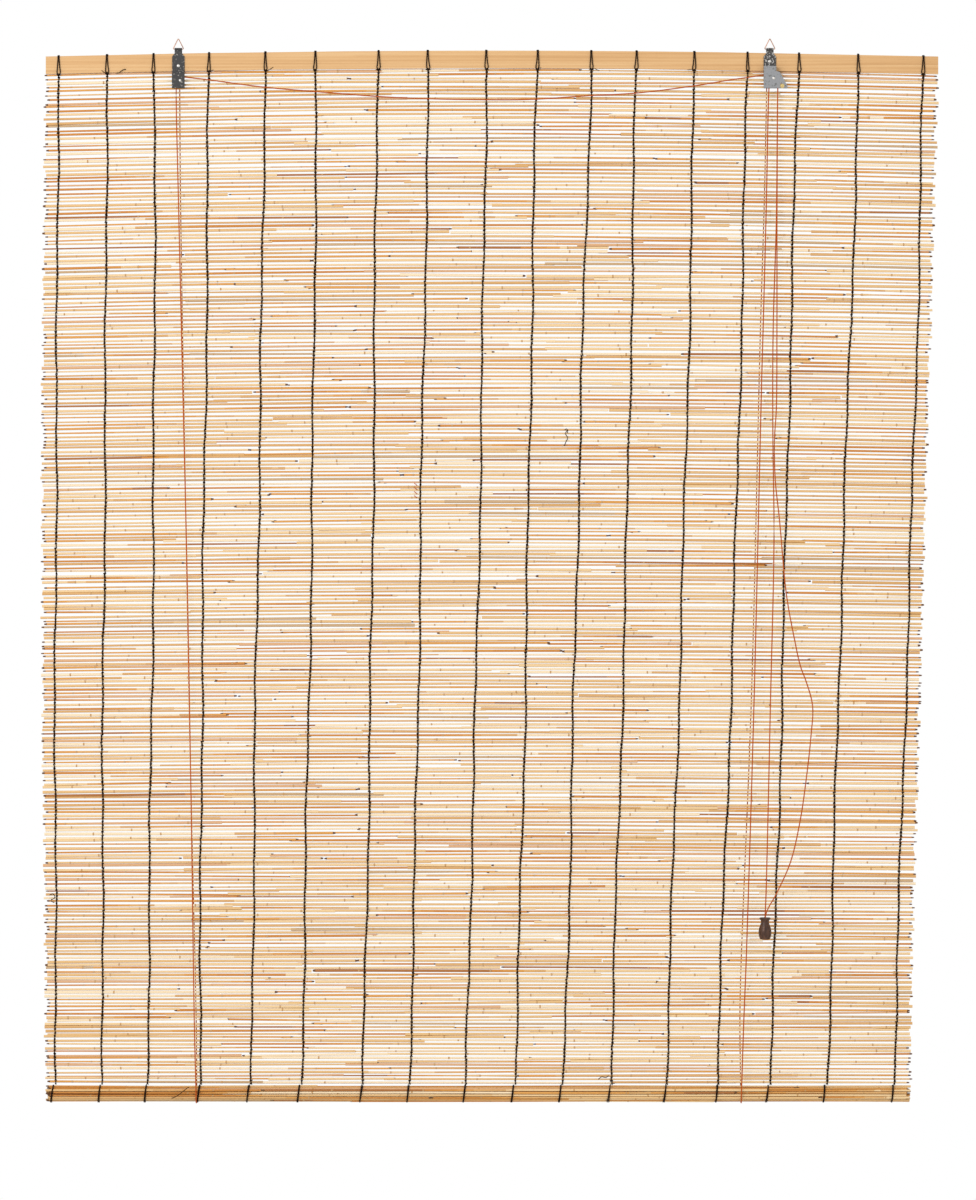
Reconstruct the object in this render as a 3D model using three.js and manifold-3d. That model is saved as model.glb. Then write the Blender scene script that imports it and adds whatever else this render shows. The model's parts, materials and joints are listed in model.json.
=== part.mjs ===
// Roll-up reed blind: a wooden head rail, a mat of reeds woven with dark twine, a bundle of reeds along the
// bottom, two bracket blocks with sheaves, a cord lock, two lifting loops, a cross cord and a wooden tassel.
// Millimetres, +Z up, front towards -Y. The origin lies where the hooks carry the rings, midway along the rail.
import * as THREE from 'three';
import { mergeVertices } from 'three/addons/utils/BufferGeometryUtils.js';
import Module from 'manifold-3d';

const wasm = await Module();
wasm.setup();

// ---- Driving dimensions -------------------------------------------------------------------------------
const GAP = 0.3;                  // running or seating gap between two pieces

const RAIL_LENGTH = 1497;
const RAIL_HEIGHT = 29.4;
const RAIL_THICKNESS = 9;
const RAIL_CROWN_Z = -19.6;       // top edge of the rail at mid-length
const RAIL_BOW = 9.8;             // how much lower the rail's ends are than its middle

const REED_DIAMETER = 4;
const REED_PITCH = 6.21;
const REEDS_PER_BAND = 39;
const BAND_COUNT = 7;
const WEB_THICKNESS = 0.8;        // twine held between one reed and the next
const MAT_INSET = 0.5;            // from each end of the rail to the edge of the mat
const MAT_TAPER = 45;             // the right edge of the mat leans this far in towards the bottom

const TWINE_DIAMETER = 1.4;
const WARP_WIDTH = 3.2;
const WARP_TOP_X = [-730, -648, -565, -477, -383, -294, -191, -104, -8, 77, 166, 243, 341, 430, 515, 614, 723];
const WARP_BOTTOM_X = [-732, -653, -576, -490, -403, -317, -215, -139, -42, 39, 119, 201, 294, 379, 466, 562, 676];

const BUNDLE_DIAMETER = 28;
const BUNDLE_GAP = 2;             // from the mat's lower edge to the bundle
const BUNDLE_INSET = 2;           // the bundle's right end lies this far inside the mat's

const CORD_DIAMETER = 2;

const PLATE_THICKNESS = 1.2;
const COVER_THICKNESS = 1;
const HOUSING_DEPTH = 9;          // room for the sheaves between back plate and cover
const BODY_WIDTH = 21;
const NECK_WIDTH = 12.7;
const SHOULDER_TOP_Z = -24.6;
const SHOULDER_Z = -29.8;
const PLATE_BOTTOM_Z = -83;

const WIRE_DIAMETER = 1.6;        // hanging ring
const RING_WIDTH = 19.8;
const RING_SLEEVE_Z = -17.2;      // the ring's lower bar, inside the rolled eye of the plate
const SLEEVE_WALL = 0.8;

const NAIL_HEAD_DIAMETER = 5.6;
const NAIL_SHANK_DIAMETER = 2.2;
const NAIL_DEPTH = 6.5;           // how far the shank goes into the rail
const AXLE_DIAMETER = 2.4;
const TACK_X = [-524.5, 462];
const TACK_Z = -40;               // tacks in the back of the rail hold the fixed ends of the lifting loops
const TACK_SHANK_DIAMETER = 1.6;
const TACK_HEAD_DIAMETER = 5;
const TACK_DEPTH = 3;

const LEFT = {
  x: -526, nailZ: -45.3, axleX: 3.4, axleZ: -70.5, rivetDiameter: 4.5,
  cordRadius: 6.6, flangeRadius: 7, coverTopZ: -59, sheaveWidth: 4.4,
};
const RIGHT = {
  x: 466, nailZ: -38, axleX: 6.4, axleZ: -66.6, rivetDiameter: 5.2,
  cordRadius: 7.2, flangeRadius: 7.6, coverTopZ: -46, sheaveWidth: 3.5,
};
const CORD_ENTRY_HEIGHT = 11;     // open part of the lock cheek's side wall, where the cross cord comes in
const FIN_TOP = [16.4, -56.4];    // flared edge of the cord lock, from the right bracket's own centre line
const FIN_EDGE = [29.2, -79.4];
const LOCK_ROLLER_DIAMETER = 7.5;
const LOCK_ROLLER_AT = [20.4, -79.5];
const LOCK_TRAVEL = 5;

const TASSEL_TOP_Z = -1472.5;
const TASSEL_HEIGHT = 37;
const TASSEL_DIAMETER = 21.8;
const TASSEL_X = 457;
const TASSEL_BORE = 7;
const TASSEL_POCKET = 12;         // pocket for the knot, under the bore
const POCKET_DEPTH = 9;
const KNOT_DIAMETER = 9;

// ---- Places worked out from them ----------------------------------------------------------------------
const railFront = -RAIL_THICKNESS / 2;
const railTop = (x) => RAIL_CROWN_Z - RAIL_BOW * (2 * x / RAIL_LENGTH) ** 2;
const railBottom = (x) => railTop(x) - RAIL_HEIGHT;
const matTop = railBottom(RAIL_LENGTH / 2) - GAP + (REED_PITCH - REED_DIAMETER) / 2;
const reedCount = REEDS_PER_BAND * BAND_COUNT;
const matBottom = matTop - reedCount * REED_PITCH;
const matLeft = MAT_INSET - RAIL_LENGTH / 2;
const matRight = (z) => THREE.MathUtils.mapLinear(z, matTop, matBottom, -matLeft, -matLeft - MAT_TAPER);
const bundleRight = matRight(matBottom) - BUNDLE_INSET;
const bundleZ = matBottom - BUNDLE_GAP - BUNDLE_DIAMETER / 2;
const plateBack = railFront - GAP;
const plateFront = plateBack - PLATE_THICKNESS;
const coverBack = plateFront - HOUSING_DEPTH;
const coverFront = coverBack - COVER_THICKNESS;
const cordRadius = CORD_DIAMETER / 2;
const slingRadius = BUNDLE_DIAMETER / 2 + cordRadius + GAP + 0.2;
const tasselY = -(BUNDLE_DIAMETER + TASSEL_DIAMETER) / 2 - CORD_DIAMETER - 1;

// ---- Geometry helpers ---------------------------------------------------------------------------------
function merged(geometry) {
  geometry.deleteAttribute('normal');
  geometry.deleteAttribute('uv');
  return mergeVertices(geometry, 1e-4);
}

function signedVolume(geometry) {
  const p = geometry.attributes.position;
  const index = geometry.index.array;
  const [a, b, c] = [new THREE.Vector3(), new THREE.Vector3(), new THREE.Vector3()];
  let sum = 0;
  for (let i = 0; i < index.length; i += 3) {
    a.fromBufferAttribute(p, index[i]);
    b.fromBufferAttribute(p, index[i + 1]);
    c.fromBufferAttribute(p, index[i + 2]);
    sum += a.dot(b.cross(c));
  }
  return sum / 6;
}

// A closed geometry with merged corners and its faces pointing out.
function closed(geometry) {
  const g = merged(geometry);
  if (signedVolume(g) < 0) g.index.array.reverse();
  return g;
}

function toSolid(geometry) {
  const g = closed(geometry);
  return new wasm.Manifold(new wasm.Mesh({
    numProp: 3,
    vertProperties: Float32Array.from(g.attributes.position.array),
    triVerts: Uint32Array.from(g.index.array),
  }));
}

function toGeometry(solid) {
  const mesh = solid.getMesh();
  const g = new THREE.BufferGeometry();
  g.setAttribute('position', new THREE.BufferAttribute(mesh.vertProperties, 3));
  g.setIndex(new THREE.BufferAttribute(mesh.triVerts, 1));
  return g;
}

const joined = (...geometries) => toGeometry(geometries.map(toSolid).reduce((a, b) => a.add(b)));
const cut = (geometry, ...tools) => toGeometry(tools.map(toSolid).reduce((a, b) => a.subtract(b), toSolid(geometry)));

// An outline that always runs anticlockwise, as a shape with holes needs.
function outline(points) {
  const corners = points.map(([x, z]) => new THREE.Vector2(x, z));
  return new THREE.Shape(THREE.ShapeUtils.isClockWise(corners) ? corners.reverse() : corners);
}

function roundHole(x, z, radius) {
  return new THREE.Path().absarc(x, z, radius, 0, 2 * Math.PI, true);
}

// An outline in X and Z, extruded from the plane y = back towards the front.
function plate(shape, back, thickness, curveSegments = 6) {
  const g = new THREE.ExtrudeGeometry(shape, { depth: thickness, bevelEnabled: false, curveSegments });
  return g.rotateX(Math.PI / 2).translate(0, back, 0);
}

// A turned piece with its axis along Y, from a closed profile of [radius, y] points.
function turned(profile, segments) {
  const points = [...profile, profile[0]].map(([r, y]) => new THREE.Vector2(r, y));
  return new THREE.LatheGeometry(points, segments);
}

function box(x0, x1, y0, y1, z0, z1) {
  return new THREE.BoxGeometry(x1 - x0, y1 - y0, z1 - z0)
    .translate((x0 + x1) / 2, (y0 + y1) / 2, (z0 + z1) / 2);
}

// A round cord along a smooth route, with the same number of steps between each point and the next.
function cordAlong(points, stepsPerSpan = 2) {
  const path = new THREE.CatmullRomCurve3(points.map((p) => new THREE.Vector3(...p)), false, 'centripetal');
  path.getUtoTmapping = (u) => u;
  const section = new THREE.Shape().absarc(0, 0, cordRadius, 0, 2 * Math.PI, false);
  const steps = stepsPerSpan * (points.length - 1);
  return new THREE.ExtrudeGeometry(section, { steps, curveSegments: 4, bevelEnabled: false, extrudePath: path });
}

// ---- Materials ----------------------------------------------------------------------------------------
const finish = (color, roughness, metalness = 0) => new THREE.MeshStandardMaterial({ color, roughness, metalness });
const materials = {
  rail: finish('#e3b97f', 0.6),
  reed: finish('#e3c49a', 0.75),
  twine: finish('#2b2622', 0.9),
  cord: finish('#b5562c', 0.8),
  darkMetal: finish('#34343a', 0.5, 0.7),
  zinc: finish('#a9aaa8', 0.45, 0.9),
  wire: finish('#a77b5a', 0.35, 0.9),
  steel: finish('#8f8f8c', 0.35, 0.9),
  brass: finish('#c9b182', 0.4, 0.9),
  tassel: finish('#4a3428', 0.5),
};

const blind = new THREE.Group();

function add(parent, name, geometry, material) {
  const mesh = new THREE.Mesh(closed(geometry), material);
  mesh.name = name;
  parent.add(mesh);
  return mesh;
}

// ---- Head rail ----------------------------------------------------------------------------------------
function headRail() {
  const half = RAIL_LENGTH / 2;
  const steps = 24;
  const along = Array.from({ length: steps + 1 }, (_, i) => -half + RAIL_LENGTH * i / steps);
  const edge = [...along.map((x) => [x, railTop(x)]), ...along.toReversed().map((x) => [x, railBottom(x)])];
  const board = plate(outline(edge), -railFront, RAIL_THICKNESS);
  const hole = (x, y, z, diameter, depth) => (
    new THREE.CylinderGeometry(diameter / 2 + GAP, diameter / 2 + GAP, 2 * (depth + GAP), 12).translate(x, y, z)
  );
  const pilotHoles = [
    ...[LEFT, RIGHT].map((side) => hole(side.x, railFront, side.nailZ, NAIL_SHANK_DIAMETER, NAIL_DEPTH)),
    ...TACK_X.map((x) => hole(x, -railFront, TACK_Z, TACK_SHANK_DIAMETER, TACK_DEPTH)),
  ];
  return cut(board, ...pilotHoles);
}
add(blind, 'head_rail', headRail(), materials.rail);

// ---- Mat of reeds -------------------------------------------------------------------------------------
// A band of reeds: the section in Y and Z is a column of reeds with the twine between them as a thin web.
function matBand(top) {
  const web = WEB_THICKNESS / 2;
  const reed = REED_DIAMETER / 2;
  const side = [];
  for (let i = 0; i < REEDS_PER_BAND; i += 1) {
    const middle = top - REED_PITCH * (i + 0.5);
    side.push([web, middle + reed], [reed, middle], [web, middle - reed]);
  }
  const section = outline([...side, ...side.toReversed().map(([y, z]) => [-y, z])]);
  const g = new THREE.ExtrudeGeometry(section, { depth: 1, bevelEnabled: false });
  const p = g.attributes.position;
  for (let i = 0; i < p.count; i += 1) {
    const [y, z, along] = [p.getX(i), p.getY(i), p.getZ(i)];
    p.setXYZ(i, THREE.MathUtils.lerp(matLeft, matRight(z), along), y, z);
  }
  return g;
}
for (let band = 0; band < BAND_COUNT; band += 1) {
  const top = matTop - band * REEDS_PER_BAND * REED_PITCH;
  add(blind, `mat_band_${band + 1}`, matBand(top), materials.reed);
}

// ---- Twine warps: each one loops over the rail and runs down both faces of the mat ---------------------
function warp(topX, bottomX) {
  const overRail = RAIL_THICKNESS / 2 + GAP;
  const overReed = REED_DIAMETER / 2 + GAP;
  const top = Math.max(railTop(topX - WARP_WIDTH / 2), railTop(topX + WARP_WIDTH / 2)) + GAP;
  const railEnd = railBottom(topX) - GAP;
  const neck = railEnd - RAIL_THICKNESS / 2;
  const ring = (grow) => {
    const half = [
      [overRail + grow, top + grow], [overRail + grow, railEnd], [overReed + grow, neck],
      [overReed + grow, matBottom - grow],
    ];
    return [...half, ...half.toReversed().map(([y, z]) => [-y, z])];
  };
  const section = outline(ring(TWINE_DIAMETER));
  section.holes.push(new THREE.Path(ring(0).map(([y, z]) => new THREE.Vector2(y, z))));
  const g = new THREE.ExtrudeGeometry(section, { depth: WARP_WIDTH, bevelEnabled: false });
  const p = g.attributes.position;
  for (let i = 0; i < p.count; i += 1) {
    const [y, z, across] = [p.getX(i), p.getY(i), p.getZ(i) - WARP_WIDTH / 2];
    const lean = THREE.MathUtils.mapLinear(Math.min(z, neck), neck, matBottom, topX, bottomX);
    p.setXYZ(i, lean + across, y, z);
  }
  return g;
}
WARP_TOP_X.forEach((topX, i) => {
  add(blind, `warp_${String(i + 1).padStart(2, '0')}`, warp(topX, WARP_BOTTOM_X[i]), materials.twine);
});

// ---- Bottom bundle: one bar of reeds with six more packed round it --------------------------------------
const bundle = new THREE.Group();
bundle.position.set((matLeft + bundleRight) / 2, 0, bundleZ);
blind.add(bundle);
const strandDiameter = BUNDLE_DIAMETER / 3 - GAP;
for (let i = 0; i < 7; i += 1) {
  const strand = new THREE.CylinderGeometry(strandDiameter / 2, strandDiameter / 2, bundleRight - matLeft, 10);
  const mesh = add(bundle, `bottom_reeds_${i + 1}`, strand.rotateZ(Math.PI / 2), materials.reed);
  const turn = (i - 1) * Math.PI / 3;
  const out = i === 0 ? 0 : strandDiameter + GAP;
  mesh.position.set(0, out * Math.cos(turn), out * Math.sin(turn));
}

// ---- Bracket blocks -----------------------------------------------------------------------------------
// Outline of a bracket's back plate below its rolled eye; the fin carries the cord lock.
function plateOutline(withFin) {
  const half = BODY_WIDTH / 2;
  const neck = NECK_WIDTH / 2;
  const top = RING_SLEEVE_Z - WIRE_DIAMETER;
  const fin = withFin
    ? [[half, FIN_TOP[1] + 2], FIN_TOP, FIN_EDGE, [FIN_EDGE[0], PLATE_BOTTOM_Z]]
    : [[half, PLATE_BOTTOM_Z]];
  return outline([
    [-neck, top], [neck, top], [neck, SHOULDER_TOP_Z], [half, SHOULDER_Z], ...fin,
    [-half, PLATE_BOTTOM_Z], [-half, SHOULDER_Z], [-neck, SHOULDER_TOP_Z],
  ]);
}

const slant = new THREE.Vector2(FIN_TOP[0] - FIN_EDGE[0], FIN_TOP[1] - FIN_EDGE[1]).normalize();

// The slanted slot that one end of the lock roller slides in.
function lockSlot() {
  const r = AXLE_DIAMETER / 2 + GAP;
  const turn = Math.atan2(slant.y, slant.x);
  const [x, z] = LOCK_ROLLER_AT;
  return new THREE.Path()
    .absarc(x, z, r, turn - Math.PI / 2, turn + Math.PI / 2, true)
    .absarc(x + slant.x * LOCK_TRAVEL, z + slant.y * LOCK_TRAVEL, r, turn + Math.PI / 2, turn - Math.PI / 2, true);
}

const axleHole = (side) => roundHole(side.axleX, side.axleZ, AXLE_DIAMETER / 2 + GAP);
const sleeveRadius = WIRE_DIAMETER / 2 + GAP * 1.5 + SLEEVE_WALL;
const sleeveY = (plateBack + plateFront) / 2;

function backPlate(side, withFin) {
  const shape = plateOutline(withFin);
  shape.holes.push(axleHole(side), roundHole(0, side.nailZ, NAIL_SHANK_DIAMETER / 2 + GAP));
  if (withFin) shape.holes.push(lockSlot());
  const tube = new THREE.Shape().absarc(0, 0, sleeveRadius, 0, 2 * Math.PI, false);
  const sleeve = new THREE.ExtrudeGeometry(tube, { depth: NECK_WIDTH, bevelEnabled: false, curveSegments: 8 })
    .rotateY(Math.PI / 2).translate(-NECK_WIDTH / 2, sleeveY, RING_SLEEVE_Z);
  const bore = new THREE.CylinderGeometry(sleeveRadius - SLEEVE_WALL, sleeveRadius - SLEEVE_WALL, NECK_WIDTH + 2, 16)
    .rotateZ(Math.PI / 2).translate(0, sleeveY, RING_SLEEVE_Z);
  return cut(joined(plate(shape, plateBack, PLATE_THICKNESS), sleeve), bore);
}

// The pressed cover in front of the sheaves: a face, a top wall back to the plate and one side wall.
function cover(side, withFin) {
  const half = BODY_WIDTH / 2;
  const right = withFin
    ? [[half, FIN_TOP[1] + 2], FIN_TOP, FIN_EDGE, [FIN_EDGE[0], PLATE_BOTTOM_Z]]
    : [[half, PLATE_BOTTOM_Z]];
  const shape = outline([[-half, side.coverTopZ], [half, side.coverTopZ], ...right, [-half, PLATE_BOTTOM_Z]]);
  shape.holes.push(axleHole(side));
  if (withFin) shape.holes.push(lockSlot());
  const wallTop = withFin ? side.axleZ + side.cordRadius - CORD_ENTRY_HEIGHT : side.coverTopZ;
  const inside = plateFront - GAP;
  return joined(
    plate(shape, coverBack, COVER_THICKNESS),
    box(-half, half, coverFront, inside, side.coverTopZ - COVER_THICKNESS, side.coverTopZ),
    box(-half, -half + COVER_THICKNESS, coverFront, inside, PLATE_BOTTOM_Z, wallTop),
  );
}

// A grooved sheave with a bore for its axle.
function sheave(side, middleY) {
  const half = side.sheaveWidth / 2;
  const groove = CORD_DIAMETER / 2 + GAP;
  const floor = side.cordRadius - cordRadius - 1.5 * GAP;
  const bore = AXLE_DIAMETER / 2 + GAP;
  const profile = [
    [bore, -half], [side.flangeRadius, -half], [side.flangeRadius, -groove], [floor, -groove],
    [floor, groove], [side.flangeRadius, groove], [side.flangeRadius, half], [bore, half],
  ];
  return turned(profile, 20).translate(side.axleX, middleY, side.axleZ);
}

// The axle is riveted over at both ends.
function axle(side) {
  const r = AXLE_DIAMETER / 2;
  const head = side.rivetDiameter / 2;
  const [rear, front] = [plateBack + GAP, coverFront - GAP];
  const profile = [
    [0, rear + 0.7], [head, rear + 0.7], [head, rear], [r, rear],
    [r, front], [head, front], [head, front - 0.6], [head / 2, front - 1.1], [0, front - 1.1],
  ];
  return turned(profile, 12).translate(side.axleX, 0, side.axleZ);
}

function railNail(side) {
  const r = NAIL_SHANK_DIAMETER / 2;
  const head = NAIL_HEAD_DIAMETER / 2;
  const seat = plateFront - GAP;
  const profile = [
    [0, railFront + NAIL_DEPTH], [r, railFront + NAIL_DEPTH - 2], [r, seat], [head, seat],
    [head, seat - 0.5], [head / 2, seat - 1.3], [0, seat - 1.3],
  ];
  return turned(profile, 12).translate(0, 0, side.nailZ);
}

// Triangular ring of wire; its lower bar turns in the plate's rolled eye.
function hangingRing() {
  const wire = WIRE_DIAMETER / 2;
  const triangle = (grow) => {
    const half = RING_WIDTH / 2 - 1.5 * (WIRE_DIAMETER - grow);
    const low = RING_SLEEVE_Z + wire - grow;
    const tip = 1.5;
    return [[-tip, grow], [tip, grow], [half, low + tip], [half - tip / 2, low], [-half + tip / 2, low], [-half, low + tip]];
  };
  const shape = outline(triangle(WIRE_DIAMETER));
  shape.holes.push(new THREE.Path(triangle(0).map(([x, z]) => new THREE.Vector2(x, z))));
  return plate(shape, sleeveY + wire, WIRE_DIAMETER);
}

function bracket(prefix, side, withFin) {
  const group = new THREE.Group();
  group.position.x = side.x;
  blind.add(group);
  const housingMiddle = (plateFront + coverBack) / 2;
  add(group, `${prefix}_back_plate`, backPlate(side, withFin), materials.darkMetal);
  add(group, withFin ? `${prefix}_lock_cheek` : `${prefix}_pulley_cover`, cover(side, withFin),
    withFin ? materials.zinc : materials.darkMetal);
  add(group, `${prefix}_axle`, axle(side), materials.steel);
  add(group, `${prefix}_rail_nail`, railNail(side), materials.steel);
  add(group, `${prefix}_hanging_ring`, hangingRing(), materials.wire);
  if (!withFin) {
    add(group, `${prefix}_sheave`, sheave(side, housingMiddle), materials.steel);
    return;
  }
  const offset = (side.sheaveWidth + 2 * GAP) / 2;
  add(group, `${prefix}_rear_sheave`, sheave(side, housingMiddle + offset), materials.steel);
  add(group, `${prefix}_front_sheave`, sheave(side, housingMiddle - offset), materials.steel);
  const r = LOCK_ROLLER_DIAMETER / 2;
  const stub = AXLE_DIAMETER / 2;
  const [rear, front] = [plateFront - 2 * GAP, coverBack + 2 * GAP];
  const roller = turned([
    [0, plateBack + GAP], [stub, plateBack + GAP], [stub, rear], [r, rear],
    [r, front], [stub, front], [stub, coverFront - 1], [0, coverFront - 1],
  ], 16);
  add(group, 'lock_roller', roller, materials.brass).position.set(LOCK_ROLLER_AT[0], 0, LOCK_ROLLER_AT[1]);
}
bracket('left', LEFT, false);
bracket('right', RIGHT, true);

// ---- Lifting loops: down the front of the mat, under the bundle and up behind the mat --------------------
const housingY = (plateFront + coverBack) / 2;
const rightSheaveOffset = (RIGHT.sheaveWidth + 2 * GAP) / 2;
const BACK_START_Z = TACK_Z - TACK_SHANK_DIAMETER / 2 - GAP;
const LOOPS = {
  left: {
    side: LEFT, frontY: housingY, overTo: Math.PI / 2,
    front: [[-529.5, -100], [-525.7, -270], [-519, -560], [-511, -900], [-504, -1300], [-499, -1646]],
    bottomX: -496, back: [[TACK_X[0], BACK_START_Z], [-523, -270], [-516, -700], [-507, -1200], [-497, -1646]],
  },
  right: {
    side: RIGHT, frontY: housingY - rightSheaveOffset, overTo: 0,
    front: [[463.5, -100], [460, -270], [454.4, -488], [452, -572], [439.5, -1100], [426, -1545], [422, -1646]],
    bottomX: 418, back: [[TACK_X[1], BACK_START_Z], [457.3, -270], [450.7, -488], [436, -1100], [418.7, -1545], [416.5, -1646]],
  },
};
const backY = RAIL_THICKNESS / 2 + CORD_DIAMETER + GAP;

function frontFall(loop) {
  const { side, front, frontY, bottomX } = loop;
  const [cx, cz] = [side.x + side.axleX, side.axleZ];
  const overSheave = [];
  for (let i = 0; i <= 4; i += 1) {
    const turn = loop.overTo + (Math.PI - loop.overTo) * i / 4;
    overSheave.push([cx + side.cordRadius * Math.cos(turn), frontY, cz + side.cordRadius * Math.sin(turn)]);
  }
  const [startZ, endZ] = [cz, bundleZ + GAP];
  const lean = (z) => THREE.MathUtils.mapLinear(z, startZ, endZ, frontY, -slingRadius);
  return [...overSheave, ...front.map(([x, z]) => [x, lean(z), z]), [bottomX, -slingRadius, endZ]];
}

function backFall(loop) {
  const { back, bottomX } = loop;
  const endZ = bundleZ + GAP;
  const lean = (z) => THREE.MathUtils.mapLinear(z, back[0][1], endZ, backY, slingRadius);
  return [...back.map(([x, z]) => [x, lean(z), z]), [bottomX, slingRadius, endZ]];
}

// The tack in the back of the rail that the fixed end of a lifting loop is tied to.
function cordTack(x) {
  const [r, head] = [TACK_SHANK_DIAMETER / 2, TACK_HEAD_DIAMETER / 2];
  const [tip, seat] = [-railFront - TACK_DEPTH, backY + cordRadius + GAP];
  const profile = [[0, tip], [r, tip + 1.5], [r, seat], [head, seat], [head, seat + 0.6], [0, seat + 1]];
  return turned(profile, 12).translate(x, 0, TACK_Z);
}

function sling(loop) {
  const turns = Array.from({ length: 9 }, (_, i) => Math.PI * i / 8);
  return turns.map((t) => [
    loop.bottomX, -slingRadius * Math.cos(t), bundleZ - slingRadius * Math.sin(t),
  ]);
}

for (const [name, loop] of Object.entries(LOOPS)) {
  add(blind, `${name}_front_cord`, cordAlong(frontFall(loop)), materials.cord);
  add(blind, `${name}_back_cord`, cordAlong(backFall(loop)), materials.cord);
  add(blind, `${name}_cord_sling`, cordAlong(sling(loop)), materials.cord);
  add(blind, `${name}_cord_tack`, cordTack(loop.back[0][0]), materials.steel);
}

// ---- Cross cord from the left sheave to the rear sheave of the lock --------------------------------------
const CROSS_ROUTE = [
  [-515, -64.6], [-476.6, -68.8], [-389.3, -80.5], [-280, -90], [-154.4, -99], [0, -102.4], [70, -101.6],
  [159.4, -95.6], [243.3, -91], [349, -77.5], [399.4, -69], [429.6, -64.8], [454.7, -60.8],
];
function crossCord() {
  const leftTop = [LEFT.x + LEFT.axleX + GAP, housingY, LEFT.axleZ + LEFT.cordRadius];
  const rearY = housingY + rightSheaveOffset;
  const rightTop = [RIGHT.x + RIGHT.axleX, rearY, RIGHT.axleZ + RIGHT.cordRadius];
  const depth = (x) => THREE.MathUtils.mapLinear(x, leftTop[0], rightTop[0], housingY, rearY);
  const r = RIGHT.cordRadius;
  const down = [Math.PI / 4, 0].map((t) => [
    RIGHT.x + RIGHT.axleX + r * Math.cos(t), rearY, RIGHT.axleZ + r * Math.sin(t),
  ]);
  return [leftTop, ...CROSS_ROUTE.map(([x, z]) => [x, depth(x), z]), rightTop, ...down];
}
add(blind, 'cross_cord', cordAlong(crossCord()), materials.cord);

// ---- Pull cords and tassel ------------------------------------------------------------------------------
const PULL_ROUTES = {
  rear_pull_cord: {
    topY: housingY + rightSheaveOffset, intoTassel: 1.5,
    route: [
      [478.8, -100], [476.6, -307], [471.2, -488], [470.6, -660], [472.5, -840], [466.5, -1109], [462, -1310],
      [458.6, -1440],
    ],
  },
  front_pull_cord: {
    topY: housingY - rightSheaveOffset, intoTassel: -1.5,
    route: [
      [478.8, -100], [477.6, -307], [477.4, -488], [476.4, -620], [473.2, -673], [474.5, -740], [481.6, -807],
      [493.2, -933], [506.8, -1008], [516.5, -1052], [526.5, -1079], [536.8, -1118], [534.2, -1168],
      [525.2, -1248], [516, -1310], [500, -1379], [476.5, -1432], [461.5, -1459],
    ],
  },
};
// The knot is drawn up against the lower edge of the bore, and carries the tassel.
const knotSeat = Math.sqrt((KNOT_DIAMETER / 2 + GAP) ** 2 - (TASSEL_BORE / 2) ** 2);
const knotZ = TASSEL_TOP_Z - TASSEL_HEIGHT + POCKET_DEPTH - knotSeat;

function pullCord({ topY, intoTassel, route }) {
  const startZ = RIGHT.axleZ - 2 * GAP;
  const startX = RIGHT.x + RIGHT.axleX + RIGHT.cordRadius;
  const endY = tasselY + intoTassel;
  const depth = (z) => THREE.MathUtils.mapLinear(z, startZ, TASSEL_TOP_Z, topY, endY);
  return [
    [startX, topY, startZ], ...route.map(([x, z]) => [x, depth(z), z]),
    [TASSEL_X, endY, TASSEL_TOP_Z - 2], [TASSEL_X, endY, knotZ + KNOT_DIAMETER / 2 + GAP],
  ];
}
for (const [name, pull] of Object.entries(PULL_ROUTES)) {
  add(blind, name, cordAlong(pullCord(pull)), materials.cord);
}

function tassel() {
  const r = TASSEL_DIAMETER / 2;
  const [bore, pocket] = [TASSEL_BORE / 2, TASSEL_POCKET / 2];
  const h = TASSEL_HEIGHT;
  const profile = [
    [bore, 0], [0.78 * r, 0], [0.85 * r, -0.06 * h], [0.66 * r, -0.16 * h], [0.62 * r, -0.24 * h],
    [0.78 * r, -0.36 * h], [0.94 * r, -0.48 * h], [r, -0.6 * h], [0.97 * r, -0.74 * h], [0.86 * r, -0.87 * h],
    [0.66 * r, -0.96 * h], [pocket + 0.5, -h], [pocket, -h], [pocket, -h + POCKET_DEPTH], [bore, -h + POCKET_DEPTH],
  ];
  return turned(profile, 16).rotateX(Math.PI / 2);
}
add(blind, 'tassel', tassel(), materials.tassel).position.set(TASSEL_X, tasselY, TASSEL_TOP_Z);

const knotBall = new THREE.SphereGeometry(KNOT_DIAMETER / 2, 10, 8);
add(blind, 'tassel_knot', knotBall, materials.cord).position.set(TASSEL_X, tasselY, knotZ);

export default blind;
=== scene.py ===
"""A roll-up reed blind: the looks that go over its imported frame.

A bowed wooden head rail carries a mat of reeds. Twisted twine ties each course of reeds to
the next. Two cord loops pass over pulleys in the hanging brackets, down the front of the mat,
under the bundle at its foot and up behind it. Lengths are in metres, and MM turns millimetres
into metres.
"""

import json
import logging
import math
import random
from dataclasses import dataclass, field
from enum import Enum
from typing import Callable, Iterable, Sequence

import bmesh
import bpy
from mathutils import Matrix, Vector

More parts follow.
